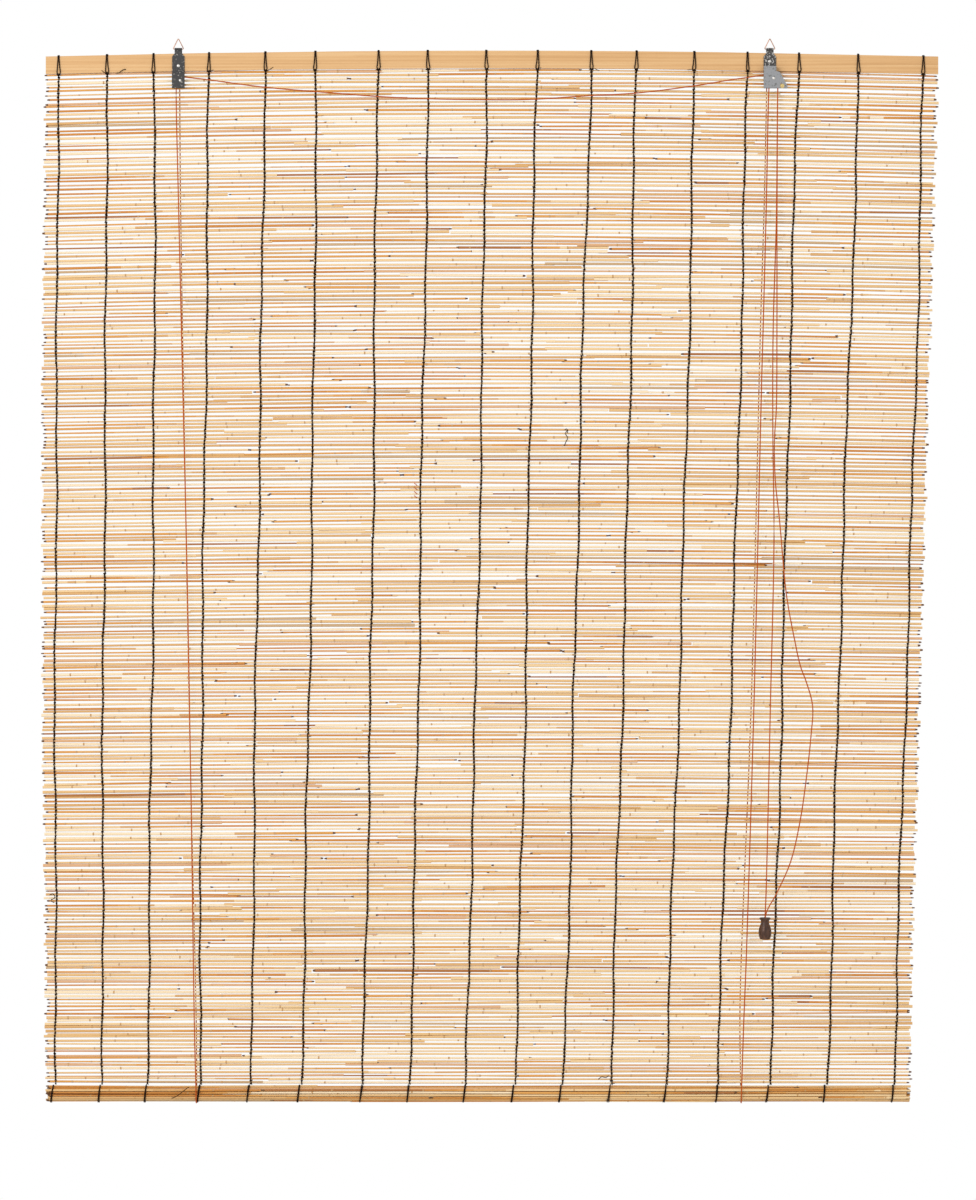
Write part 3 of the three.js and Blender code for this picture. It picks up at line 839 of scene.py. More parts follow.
@dataclass
class ReedMat:
    """The mat: one piece for each course of reeds with the twine that ties it.

    Attributes:
        travel: How far the bundle rises.
        courses: How many courses there are.
        top_pitch: The step between the first courses.
        bow: How much higher the first course is in the middle than at its ends.
        reed: A stalk's usual radius.
        sides: How many sides a stalk has.
        twine: The radius of one strand of twine.
        seed: The seed of its chance values.
    """

    travel: float
    courses: int = 273
    top_pitch: float = 6.68 * MM
    bow: float = 9.8 * MM
    reed: float = 2.0 * MM
    sides: int = 8
    twine: float = 0.98 * MM
    seed: int = 4
    warps: int = 17

    def __post_init__(self) -> None:
        """Takes the mat's place from the frame."""
        self.rng = random.Random(self.seed)
        low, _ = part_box("mat_band_7")
        _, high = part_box("mat_band_1")
        rail_low, rail_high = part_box("head_rail")
        self.left = low.x
        self.top = rail_low.z - self.reed - 0.8 * MM
        self.bottom = low.z + self.reed
        self.right_top = high.x
        self.right_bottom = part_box("mat_band_7")[1].x - 6 * MM
        self.half = rail_high.x
        steps = self.courses - 1
        mean = (self.top - self.bottom) / steps
        self.bottom_pitch = 2 * mean - self.top_pitch
        self.lines = [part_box(f"warp_{i:02d}") for i in range(1, self.warps + 1)]
        self.phases = [
            [self.rng.uniform(0, 2 * math.pi) for _ in range(3)] for _ in range(self.warps)
        ]
        self.bundle = middle_of("bottom_reeds_1").z
        up = self.bundle + self.travel
        self.roll = WoundRoll(up, rail_low.z + 3 * MM, self.top - self.bottom + 6 * MM)

    def share(self, course: int) -> float:
        """How far down the mat a course is, from 0 to 1."""
        return course / (self.courses - 1)

    def pitch(self, course: int) -> float:
        """The step between courses at this one."""
        t = self.share(course)
        return self.top_pitch + (self.bottom_pitch - self.top_pitch) * t

    def end_height(self, course: int) -> float:
        """The height of a course at its two ends."""
        drop = self.top_pitch * course
        drop += (self.bottom_pitch - self.top_pitch) * course**2 / (2 * (self.courses - 1))
        return self.top - drop

    def height(self, course: int, x: float) -> float:
        """The height of a course at x, with the bow of the rail, which fades down the mat."""
        fade = 1 - self.share(course)
        return self.end_height(course) + self.bow * fade * (1 - (x / self.half) ** 2)

    def edges(self, course: int) -> tuple[float, float]:
        """The left and right end of a course, which are ragged.

        Args:
            course: Which course.

        Returns:
            Both places along X.
        """
        t = self.share(course)
        left = self.left - 1 * MM - 6 * MM * math.sin(math.pi * min(1.0, 1.15 * t))
        right = self.right_top + (self.right_bottom - self.right_top) * min(1.0, 1.12 * t)
        ragged = self.rng.uniform
        return left + ragged(-3, 3.5) * MM, right + ragged(-4, 3) * MM

    def warp_x(self, warp: int, course: float) -> float:
        """Where a line of twine crosses a course.

        Args:
            warp: Which line of twine.
            course: Which course.

        Returns:
            The place along X.
        """
        low, high = self.lines[warp]
        t = course / (self.courses - 1)
        a, b, c = self.phases[warp]
        wander = 1.7 * math.sin(5.2 * t + a) + 1.3 * math.sin(17 * t + b) + 0.9 * math.sin(61 * t + c)
        half = 1.6 * MM
        return (high.x - half) * (1 - t) + (low.x + half) * t + wander * MM

    def shift(self, z: float) -> Vector:
        """How far the mat moves at a height, from hanging to fully wound."""
        y, up = self.roll.place(z - self.bottom)
        return Vector((0.0, y, up - z))

    def stalk(
        self,
        bm: bmesh.types.BMesh,
        line: Callable[[float], Vector],
        start: float,
        end: float,
        warm: float,
        tans: float = 1.0,
        girth: float = 1.0,
    ) -> None:
        """Adds one stalk, with its joints, its warm stretch and its dark tip.

        Args:
            bm: Where it goes.
            line: Gives the stalk's middle at each x.
            start: The x of its thick end.
            end: The x of its thin tip, on either side of the start.
            warm: The chance that it turns amber towards its tip.
            tans: How much likelier than usual a tan stalk is.
            girth: How thick it is against the mat's stalks.
        """
        rng = self.rng
        span = abs(end - start)
        thick = self.reed * girth * rng.uniform(0.92, 1.3)
        thin = thick * rng.uniform(0.5, 0.85)
        pale = rng.choices(
            [Tone.IVORY, Tone.CREAM, Tone.STRAW, Tone.TAN, Tone.ROSY, Tone.GREY, Tone.AMBER],
            [11, 28, 34, 15 * tans, 8, 4 * tans, 10 * (tans - 1)],
        )[0]
        depth = rng.choices([3, 5, 6], [46, 44, 10 * tans])[0]
        deep = WARMING[depth - 1]
        turns_at = 1 - rng.uniform(0.1, 0.5) if rng.random() < warm else 1.1
        stops = [(0.0, thick, pale)]
        joint = rng.uniform(0.15, 0.3)
        half = 1.3 * MM / span
        while joint < 0.94:
            if turns_at - 0.2 < joint < turns_at:
                joint = turns_at + half * 2
                continue
            size = thick + (thin - thick) * joint
            tone = pale if joint < turns_at else deep
            stops.append((joint - half, size, Tone.JOINT))
            stops.append((joint, size * 1.14, Tone.JOINT))
            stops.append((joint + half, size, tone))
            joint += rng.uniform(110, 260) * MM / span
        if turns_at < 1:
            size = thick + (thin - thick) * turns_at
            fade = rng.uniform(14, 34) * MM / span
            for i, tone in enumerate(WARMING[:depth]):
                stops.append((turns_at + fade * (i + 1 - depth), size, tone))
        tip = 1 - 4.5 * MM / span
        stops = sorted((s for s in stops if 0 <= s[0] < tip - half), key=lambda s: s[0])
        stops += [(tip, thin * 1.1, Tone.TIP), (1.0, thin * 0.7, Tone.TIP)]
        points = [line(start + (end - start) * t) for t, _, _ in stops]
        slots = [tone_index(tone) for _, _, tone in stops[:-1]]
        sweep(bm, points, [size for _, size, _ in stops], self.sides, slots)

    def course_line(self, course: int) -> Callable[[float], Vector]:
        """A gently wavering line for one course.

        Args:
            course: Which course.

        Returns:
            A function that gives the line's middle at each x.
        """
        rng = self.rng
        lean = rng.uniform(-1.0, 1.0) * MM
        wave = rng.uniform(0.15, 0.7) * MM
        pace, phase = rng.uniform(5, 11), rng.uniform(0, 6.28)

        def line(x: float) -> Vector:
            """The middle of the course at x."""
            z = self.height(course, x) + lean * x / self.half + wave * math.sin(pace * x + phase)
            return Vector((x, 0.0, z))

        return line

    def reeds(self, bm: bmesh.types.BMesh, course: int) -> Callable[[float], Vector]:
        """Adds the stalks of one course, end to end.

        Args:
            bm: Where they go.
            course: Which course.

        Returns:
            The line that they follow.
        """
        rng = self.rng
        line = self.course_line(course)
        left, right = self.edges(course)
        x = left
        while x < right - 60 * MM:
            end = min(right, x + rng.uniform(210, 640) * MM)
            if right - end < 130 * MM:
                end = right
            rise = rng.uniform(-1.1, 1.1) * MM
            fall = rng.uniform(-1.1, 1.1) * MM
            depth = rng.uniform(-0.35, 0.35) * MM

            low_end = Vector((x, depth, rise))
            high_end = Vector((end, depth, fall))

            def own(at: float, a: Vector = low_end, b: Vector = high_end) -> Vector:
                """The middle of this stalk at x."""
                off = a.lerp(b, (at - a.x) / (b.x - a.x))
                return line(at) + Vector((0, off.y, off.z))

            ends = (x, end) if rng.random() < 0.5 else (end, x)
            self.stalk(bm, own, *ends, warm=0.55)
            x = end + rng.uniform(-24, 2) * MM
            if end >= right:
                break
        return line

    def tie_shape(self, slant: float) -> bpy.types.Mesh:
        """One turn of two strands round a reed, for a reed at the origin and a step of one reed.

        Args:
            slant: How far each strand runs sideways as it crosses.

        Returns:
            The mesh, one unit high from tie to tie.
        """
        bm = bmesh.new()
        reach = self.reed + self.twine
        for side in (-1, 1):
            start = Matrix.Translation((-side * slant / 2, 0.0, reach))
            made = bmesh.ops.create_circle(
                bm,
                cap_ends=True,
                segments=5,
                radius=self.twine,
                matrix=start @ Matrix.Rotation(math.pi / 2, 4, "X"),
            )
            faces = list({f for v in made["verts"] for f in v.link_faces})
            bmesh.ops.spin(
                bm,
                geom=faces,
                cent=(0, 0, 0),
                axis=(1, 0, 0),
                dvec=(side * slant / 4, 0, 0),
                angle=side * math.pi,
                steps=4,
                use_duplicate=False,
            )
        bmesh.ops.scale(bm, vec=(1.0, 1.0, 1 / (2 * reach)), verts=bm.verts)
        mesh = bpy.data.meshes.new("tie_shape")
        bm.to_mesh(mesh)
        bm.free()
        return mesh

    def ties(
        self,
        bm: bmesh.types.BMesh,
        course: int,
        line: Callable[[float], Vector],
        shapes: list[bpy.types.Mesh],
    ) -> None:
        """Adds the twine round one course.

        Args:
            bm: Where it goes.
            course: Which course.
            line: The course's line.
            shapes: The shapes of one turn to choose from.
        """
        rng = self.rng
        for warp in range(self.warps):
            x = self.warp_x(warp, course) + rng.uniform(-0.45, 0.45) * MM
            before = len(bm.verts)
            bm.from_mesh(rng.choice(shapes))
            bm.verts.ensure_lookup_table()
            size = rng.uniform(0.95, 1.2)
            tall = self.pitch(course) + 1.2 * MM
            place = Matrix.Translation(line(x)) @ Matrix.Rotation(rng.uniform(-0.12, 0.12), 4, "Y")
            place = place @ Matrix.Diagonal((size, rng.uniform(1.0, 1.12), tall, 1.0))
            bmesh.ops.transform(bm, matrix=place, verts=bm.verts[before:])

    def build(self) -> None:
        """Builds every course."""
        shapes = [self.tie_shape(s * MM) for s in (1.5, 2.0, 2.5)]
        bands = [f"mat_band_{i}" for i in range(1, 8)]
        for course in range(self.courses):
            bm = bmesh.new()
            line = self.reeds(bm, course)
            self.ties(bm, course, line, shapes)
            piece = add_piece(f"reed_course_{course + 1:03d}", bm, reed_finishes(), "reed", "head")
            carry(piece, self.shift(self.end_height(course)))
            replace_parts(piece, bands[min(6, course * 7 // self.courses)])
            if course < self.warps:
                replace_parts(piece, f"warp_{course + 1:02d}")


# ---------------------------------------------------------------- rail and bundle


@dataclass
class HeadRail:
    """The bowed wooden rail and the loops of twine that carry the mat.

    Attributes:
        mat: The mat that hangs from it.
        spread: How far apart a loop's strands are at the rail's foot.
        strand: A strand's radius.
    """

    mat: ReedMat
    spread: float = 5.0 * MM
    strand: float = 1.0 * MM

    def build(self) -> None:
        """Builds the rail and its loops."""
        refined("rail_board", "head_rail", [RAIL_WOOD], "rail_wood", "head", 0.7 * MM)
        rng = random.Random(11)
        for warp in range(self.mat.warps):
            self.loop(warp, rng)

    def loop(self, warp: int, rng: random.Random) -> None:
        """Builds one loop over the rail, its knot and its loose ends.

        Args:
            warp: Which line of twine it starts.
            rng: Its chance values.
        """
        low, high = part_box("head_rail")
        x = self.mat.warp_x(warp, 0)
        drop = self.mat.bow * (x / high.x) ** 2
        top = high.z - drop
        foot = low.z + self.mat.bow - drop
        out = high.y + self.strand
        lean = rng.uniform(-0.7, 0.7) * MM
        bm = bmesh.new()
        for side in (-1, 1):
            wide = side * self.spread / 2 * rng.uniform(0.8, 1.15)
            near = side * self.strand * 0.9
            points = [
                (x + near * 0.5, -out * 0.6, foot - 1.4 * MM),
                (x + wide, -out, foot + 1.2 * MM),
                (x + wide * 0.8 + lean, -out, foot + 9 * MM),
                (x + near + lean, -out, top - 4 * MM),
                (x + near + lean, -out * 0.9, top + 0.3 * MM),
                (x + near * 0.9 + lean, 0.0, top + self.strand * 1.05),
                (x + near, out * 0.9, top + 0.2 * MM),
                (x + near, out, top - 4 * MM),
                (x + wide * 0.6, out, foot + 3 * MM),
                (x + near * 0.5, out * 0.6, foot - 1.2 * MM),
                (x, 0.0, foot - 1.6 * MM),
            ]
            sweep(bm, curve_through([Vector(p) for p in points], 3), self.strand, 6)
        knot = Vector((x, -out * 0.75, foot - 1.6 * MM))
        sweep(bm, knot_line(knot, 0.7 * MM, rng.uniform(0, 1.5)), self.strand * 0.9, 6)
        half = rng.uniform(3.2, 4.4) * MM
        bar = [
            knot + Vector((t * half, -0.5 * MM, (0.5 - t * t) * 0.8 * MM)) for t in (-1, -0.4, 0.4, 1)
        ]
        sweep(bm, bar, [self.strand * 0.5, self.strand, self.strand, self.strand * 0.5], 6)
        knob = Vector((x + lean, -out * 0.9, top - 0.6 * MM))
        sweep(bm, knot_line(knob, 0.5 * MM, rng.uniform(0, 1.5)), self.strand * 0.8, 6)
        down = [knot + Vector(p) * MM for p in ((0, 0, 0), (0.3, 1.5, -2.2), (0, 2.5, -4.5))]
        sweep(bm, down, self.strand, 6)
        if warp in (1, 3, 4, 9, 10, 12):
            reach = rng.choice((-1, 1)) * rng.uniform(5, 13) * MM
            tail = [
                knot,
                knot + Vector((reach * 0.4, -0.8 * MM, 1.0 * MM)),
                knot + Vector((reach, -0.4 * MM, rng.uniform(-2, 6) * MM)),
            ]
            sweep(bm, curve_through(tail, 4), self.strand * 0.55, 5)
        add_piece(f"rail_loop_{warp + 1:02d}", bm, [TWINE], "twine", "head")


@dataclass
class ReedBundle:
    """The bundle of reeds at the mat's foot, with its ties.

    Attributes:
        mat: The mat above it.
        rings: How many rings of reeds lie round the middle one.
        step: The distance between two reeds' middles.
    """

    mat: ReedMat
    rings: int = 3
    step: float = 4.05 * MM

    def build(self) -> None:
        """Builds the bundle and its ties."""
        boxes = [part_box(f"bottom_reeds_{i}") for i in range(1, 8)]
        self.middle = (boxes[0][0].z + boxes[0][1].z) / 2
        self.left, self.right = boxes[0][0].x, boxes[0][1].x
        self.reeds()
        for warp in range(self.mat.warps):
            self.tie(warp)

    def spots(self) -> Iterable[tuple[float, float]]:
        """The Y and Z of each reed from the bundle's middle, packed with a corner up."""
        for a in range(-self.rings, self.rings + 1):
            for b in range(-self.rings, self.rings + 1):
                if abs(a + b) <= self.rings:
                    yield (a * 0.866 * self.step, (b + a / 2) * self.step)

    def reeds(self) -> None:
        """Builds the stalks."""
        bm = bmesh.new()
        rng = self.mat.rng
        for y, z in self.spots():
            start = self.left + rng.uniform(-1, 6) * MM
            stop = self.right + rng.uniform(-7, 2) * MM
            x = start
            while x < stop - 60 * MM:
                end = min(stop, x + rng.uniform(350, 900) * MM)
                if stop - end < 150 * MM:
                    end = stop
                sag = rng.uniform(-0.6, 0.6) * MM
                off_y, off_z = y + rng.uniform(-0.5, 0.5) * MM, z + rng.uniform(-0.4, 0.4) * MM

                def line(at: float, y: float = off_y, z: float = off_z, sag: float = sag) -> Vector:
                    """The middle of this stalk at x."""
                    return Vector((at, y, self.middle + z + sag * math.sin(9 * at)))

                ends = (x, end) if rng.random() < 0.5 else (end, x)
                self.mat.stalk(bm, line, *ends, warm=0.95, tans=2.0, girth=0.8)
                x = end + rng.uniform(-12, 3) * MM
                if end >= stop:
                    break
        piece = add_piece("reed_bundle", bm, reed_finishes(), "reed", "bottom_roll")
        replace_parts(piece, *(f"bottom_reeds_{i}" for i in range(1, 8)))

    def tie(self, warp: int) -> None:
        """Builds the twine that binds the bundle beside one line of the mat's twine.

        Args:
            warp: Which line of twine.
        """
        rng = self.mat.rng
        x = self.mat.warp_x(warp, self.mat.courses - 1) - rng.uniform(3, 6.5) * MM
        radius = self.rings * self.step + self.mat.reed + 0.2 * MM
        bm = bmesh.new()
        for strand in (0, 1):
            steps = 30
            drift = rng.uniform(1.0, 2.4) * MM
            points = []
            for i in range(steps + 1):
                angle = math.pi / 2 + 2 * math.pi * i / steps
                corner = 1 - 0.075 * abs(math.sin(3 * (angle - math.pi / 2)))
                points.append(
                    Vector(
                        (
                            x + strand * 1.3 * MM + drift * math.sin(angle),
                            radius * corner * math.cos(angle),
                            self.middle + radius * corner * math.sin(angle),
                        )
                    )
                )
            sweep(bm, points, 0.85 * MM, 6)
        add_piece(f"bundle_tie_{warp + 1:02d}", bm, [TWINE], "twine", "bottom_roll")


# ---------------------------------------------------------------- cords


@dataclass
class Pulley:
    """A sheave as the cords see it: its axle and the radius that cord lies on."""

    node: str
    inset: float = 0.4 * MM

    def __post_init__(self) -> None:
        """Takes its place from the frame."""
        low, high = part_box(self.node)
        self.centre = (low + high) / 2
        self.radius = (high.x - low.x) / 2 - self.inset

    def at(self, angle: float) -> Vector:
        """A point on the cord's line round it, at an angle in degrees from +X towards +Z."""
        return arc(self.centre, self.radius, angle, angle, 1)[0]


@dataclass
class LiftLoop:
    """A cord that runs down the front of the mat, round the bundle and up behind it.

    Attributes:
        side: left or right.
        pulley: The sheave that it comes over.
        front: X and Z of the front fall, in millimetres.
        back: X and Z of the back fall, in millimetres.
        under: X where it passes under the bundle, in millimetres.
        back_y: Where the back fall starts behind the rail, in millimetres.
        radius: The cord's radius.
        bead: The length of one link of the part that wraps the roll.
        neck: How far the front fall runs inside its housing.
    """

    side: str
    pulley: Pulley
    mat: ReedMat
    front: Sequence[tuple[float, float]]
    back: Sequence[tuple[float, float]]
    under: float
    back_y: float = 6.8
    radius: float = 1.0 * MM
    bead: float = 2.4 * MM
    neck: float = 18 * MM

    def __post_init__(self) -> None:
        """Works out the loop's line at rest and round the wound roll."""
        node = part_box(f"{self.side}_cord_sling")
        self.turn = node[1].y - self.radius
        self.bundle = self.mat.bundle
        self.roll_radius = self.mat.roll.outer + self.mat.reed + self.radius + 0.9 * MM

    def fall(self, first: Vector, route: Sequence[tuple[float, float]], depth: float) -> list[Vector]:
        """A fall's line, from its upper end to beside the bundle.

        Args:
            first: Its upper end.
            route: The X and Z that it passes, in millimetres.
            depth: Its Y beside the bundle.

        Returns:
            The points.
        """
        ends = [*route, (self.under, self.bundle / MM)]
        points = [first]
        for x, z in ends:
            t = (z * MM - first.z) / (self.bundle - first.z)
            points.append(Vector((x * MM, first.y + (depth - first.y) * t, z * MM)))
        return curve_through(points, 4)

    def whole(self) -> tuple[list[Vector], list[Vector], list[Vector]]:
        """The whole loop's line.

        Returns:
            The front fall, the turn under the bundle and the back fall, from the front on.
        """
        front = self.fall(self.pulley.at(180), self.front, -self.turn)
        start = Vector((self.back[0][0] * MM, self.back_y * MM, self.back[0][1] * MM))
        back = self.fall(start, self.back[1:], self.turn)
        turn = []
        for i in range(17):
            angle = math.pi + math.pi * i / 16
            at = Vector((self.under * MM, self.turn * math.cos(angle), self.turn * math.sin(angle)))
            turn.append(at + Vector((0, 0, self.bundle)))
        return front, turn, back[::-1]

    def tangent(self, point: Vector, forward: bool) -> float:
        """The angle where a line from a point touches the wound roll.

        Args:
            point: The point above the roll.
            forward: True for the side towards the room.

        Returns:
            The angle from +Y towards +Z, in radians.
        """
        y, z = point.y, point.z - self.mat.roll.centre_z
        open_by = math.acos(min(1.0, self.roll_radius / math.hypot(y, z)))
        return math.atan2(z, y) + (open_by if forward else -open_by)

    def build(self) -> None:
        """Builds the falls and the links between them."""
        front, turn, back = self.whole()
        neck, front = split_from_end(front, length_of(front) - self.neck)
        bm = bmesh.new()
        sweep(bm, neck, self.radius, 8)
        add_piece(f"{self.side}_cord_neck", bm, [CORD], "cord", "head")
        start = self.tangent(front[0], True)
        end = self.tangent(back[-1], False) + 2 * math.pi
        wrap = (end - start) * self.roll_radius
        spare = (wrap - length_of(turn)) / 2
        upper, lower = split_from_end(front, spare)
        under_back, over_back = split_from_end(back[::-1], spare)
        lower_back = over_back[::-1]
        x_top = 0.88 * front[0].x + 0.12 * self.under * MM
        places = (
            ("front_fall", upper, start, f"{self.side}_front_cord"),
            ("back_fall", under_back, end, f"{self.side}_back_cord"),
        )
        for name, line, angle, node in places:
            bm = bmesh.new()
            sweep(bm, line, self.radius, 8)
            piece = add_piece(f"{self.side}_{name}", bm, [CORD], "cord", "head")
            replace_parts(piece, node)
            self.draw_up(piece, line, self.on_roll(angle, x_top))
        links = evenly([*lower, *turn[1:], *lower_back[1:]], self.bead)
        for i, (a, b) in enumerate(zip(links, links[1:])):
            self.link(i, a, b, start + (end - start) * (i + 0.5) / (len(links) - 1), x_top)

    def on_roll(self, angle: float, x: float) -> Vector:
        """The point of the cord's line round the wound roll at an angle."""
        y, z = self.roll_radius * math.cos(angle), self.roll_radius * math.sin(angle)
        return Vector((x, y, self.mat.roll.centre_z + z))

    def draw_up(self, piece: bpy.types.Object, line: Sequence[Vector], goal: Vector) -> None:
        """Gives a fall's piece its own copy of its mesh."""
        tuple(line[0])
        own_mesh(piece)

    def link(self, index: int, a: Vector, b: Vector, angle: float, x: float) -> None:
        """Builds one short link of cord.

        Args:
            index: Which link.
            a: Its first end.
            b: Its other end.
            angle: Where it comes to on the roll.
            x: Its place along X on the roll.
        """
        along = (b - a).normalized()
        over = along * 0.45 * MM
        line = [a - over, a, b, b + over]
        bm = bmesh.new()
        sweep(bm, line, [self.radius * 0.72, self.radius, self.radius, self.radius * 0.72], 8)
        piece = add_piece(f"{self.side}_cord_link_{index + 1:03d}", bm, [CORD], "cord", "head")
        if index == 0:
            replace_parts(piece, f"{self.side}_cord_sling")
        carry(piece, self.on_roll(angle, x) - (a + b) / 2)


def split_from_end(line: Sequence[Vector], spare: float) -> tuple[list[Vector], list[Vector]]:
    """Cuts a line at a distance from its end.

    Args:
        line: The points.
        spare: How long the second part is.

    Returns:
        Both parts, which share the point where they meet.
    """
    left = spare
    for i in range(len(line) - 1, 0, -1):
        span = (line[i] - line[i - 1]).length
        if span >= left:
            cut = line[i].lerp(line[i - 1], left / span)
            return [*line[:i], cut], [cut, *line[i:]]
        left -= span
    return list(line[:1]), list(line)


def evenly(line: Sequence[Vector], step: float) -> list[Vector]:
    """Points along a line at an even distance near step, both ends included.

    Args:
        line: The points of the line.
        step: The distance wanted.

    Returns:
        The points.
    """
    total = length_of(line)
    count = max(1, round(total / step))
    points = [line[0].copy()]
    walked, goal = 0.0, total / count
    for a, b in zip(line, line[1:]):
        span = (b - a).length
        while span > 0 and walked + span >= goal - 1e-9 and len(points) < count:
            points.append(a.lerp(b, (goal - walked) / span))
            goal += total / count
        walked += span
    points.append(line[-1].copy())
    return points


LEFT_FRONT = (
    (-529.5, -100), (-525.7, -270), (-519, -560), (-511, -900), (-504, -1300), (-499, -1646),
)
LEFT_BACK = ((-524.5, -41.1), (-523, -270), (-516, -700), (-507, -1200), (-497, -1646))
RIGHT_FRONT = (
    (463.5, -100), (460, -270), (454.4, -488), (452, -572), (439.5, -1100), (426, -1545),
    (422, -1646),
)
RIGHT_BACK = (
    (462, -41.1), (457.3, -270), (450.7, -488), (436, -1100), (418.7, -1545), (416.5, -1646),
)
CROSS_ROUTE = (
    (-515, -64.6), (-476.6, -68.8), (-389.3, -80.5), (-280, -90), (-154.4, -99), (0, -102.4),
    (70, -101.6), (159.4, -95.6), (243.3, -91), (349, -77.5), (399.4, -69), (429.6, -64.8),
    (454.7, -60.8),
)
REAR_PULL = (
    (478.8, -100), (476.6, -307), (471.2, -488), (470.6, -660), (472.5, -840), (466.5, -1109),
    (462, -1310), (458.6, -1440),
)
FRONT_PULL = (
    (478.8, -100), (477.6, -307), (477.4, -488), (476.4, -620), (473.2, -673), (474.5, -740),
    (481.6, -807), (493.2, -933), (506.8, -1008), (516.5, -1052), (526.5, -1079), (536.8, -1118),
    (534.2, -1168), (525.2, -1248), (516, -1310), (500, -1379), (476.5, -1432), (461.5, -1459),
)


@dataclass
class Tassel:
    """The turned wooden tassel, the two pull cords and the knot that holds them.

    Attributes:
        rear: The rear right pulley.
        front: The front right pulley.
        radius: The cords' radius.
        bore: The radius of the tassel's bore.
        pocket: The radius of the pocket for the knot.
        pocket_depth: How deep the pocket is.
        apart: How far each cord is from the bore's middle.
    """

    rear: Pulley
    front: Pulley
    radius: float = 1.0 * MM
    bore: float = 3.5 * MM
    pocket: float = 6.0 * MM
    pocket_depth: float = 9.0 * MM
    apart: float = 1.5 * MM

    def profile(self) -> list[tuple[float, float]]:
        """The tassel's closed section, in millimetres.

        Returns:
            The radius and the depth below the top of each point.
        """
        outside = [
            (8.0, 0.0), (8.9, 0.3), (9.3, 1.1), (9.25, 2.2), (8.6, 3.3), (7.5, 4.4), (6.85, 5.8),
            (6.7, 7.4), (6.95, 9.2), (7.6, 11.4), (8.6, 14.0), (9.6, 16.8), (10.2, 19.0),
            (10.1, 19.35), (10.35, 19.7), (10.75, 22.2), (10.88, 24.8), (10.8, 27.4), (10.55, 29.2),
            (10.3, 29.5), (10.35, 29.9), (9.9, 32.0), (9.1, 34.4), (8.2, 36.2), (7.4, 36.85),
            (6.6, 37.0),
        ]
        low = 37.0 - self.pocket_depth / MM
        inside = [
            (6.0, 36.7), (6.0, low + 0.3), (5.6, low), (3.8, low), (3.5, low - 0.4), (3.5, 0.5),
            (4.0, 0.0),
        ]
        return outside + inside

    def build(self) -> None:
        """Builds the turned wood and the knot, then the two pull cords."""
        low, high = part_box("tassel")
        self.foot = Vector(((low.x + high.x) / 2, (low.y + high.y) / 2, high.z))
        turned = self.wood()
        knot = self.knot()
        self.cord("rear_pull", self.rear, REAR_PULL, self.apart, "rear_pull_cord", [turned, knot])
        self.cord("front_pull", self.front, FRONT_PULL, -self.apart, "front_pull_cord", [])

    def wood(self) -> bpy.types.Object:
        """Builds the turned wood.

        Returns:
            The piece.
        """
        section = [self.foot + Vector((r * MM, 0, -z * MM)) for r, z in self.profile()]
        bm = turned([*section, section[0]], self.foot, Vector((0, 0, 1)), 40)
        piece = add_piece("turned_tassel", bm, [DARK_WOOD], "tassel_wood", "tassel")
        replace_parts(piece, "tassel")
        return piece

    def knot(self) -> bpy.types.Object:
        """Builds the knot in the tassel's pocket and the cords' short ends.

        Returns:
            The piece.
        """
        middle = middle_of("tassel_knot")
        bm = bmesh.new()
        sweep(bm, knot_line(middle, 1.1 * MM, 0.4), self.radius, 8)
        for side in (-1, 1):
            shape = ((0, 0, 0), (side * 1.6, side, -3), (side * 2.4, side * 1.4, -4.2))
            end = [middle + Vector(p) * MM for p in shape]
            sweep(bm, curve_through(end, 4), self.radius, 8)
        piece = add_piece("pull_cord_knot", bm, [CORD], "cord", "tassel")
        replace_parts(piece, "tassel_knot")
        return piece

    def cord(
        self,
        name: str,
        pulley: Pulley,
        route: Sequence[tuple[float, float]],
        aside: float,
        node: str,
        hung: list[bpy.types.Object],
    ) -> None:
        """Builds one pull cord, from its pulley to the knot.

        Args:
            name: The piece's name.
            pulley: The pulley that it hangs from.
            route: The X and Z that it passes, in millimetres.
            aside: How far from the tassel's middle it enters.
            node: The frame node that it stands for.
            hung: The pieces that hang on it. Not used.
        """
        start = pulley.at(0) - Vector((0, 0, 0.6 * MM))
        depth = self.foot.y + aside
        points = [start]
        for x, z in route:
            t = (z * MM - start.z) / (self.foot.z - start.z)
            points.append(Vector((x * MM, start.y + (depth - start.y) * t, z * MM)))
        points.append(Vector((self.foot.x, depth, self.foot.z - 2 * MM)))
        points.append(Vector((self.foot.x, depth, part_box("tassel_knot")[1].z + 0.3 * MM)))
        line = curve_through(points, 5)
        bm = bmesh.new()
        sweep(bm, line, self.radius, 8)
        piece = add_piece(f"{name}_line", bm, [CORD], "cord", None)
        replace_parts(piece, node)
        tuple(line[0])
        length_of(line)
        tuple(points[-2])
        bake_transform(piece)


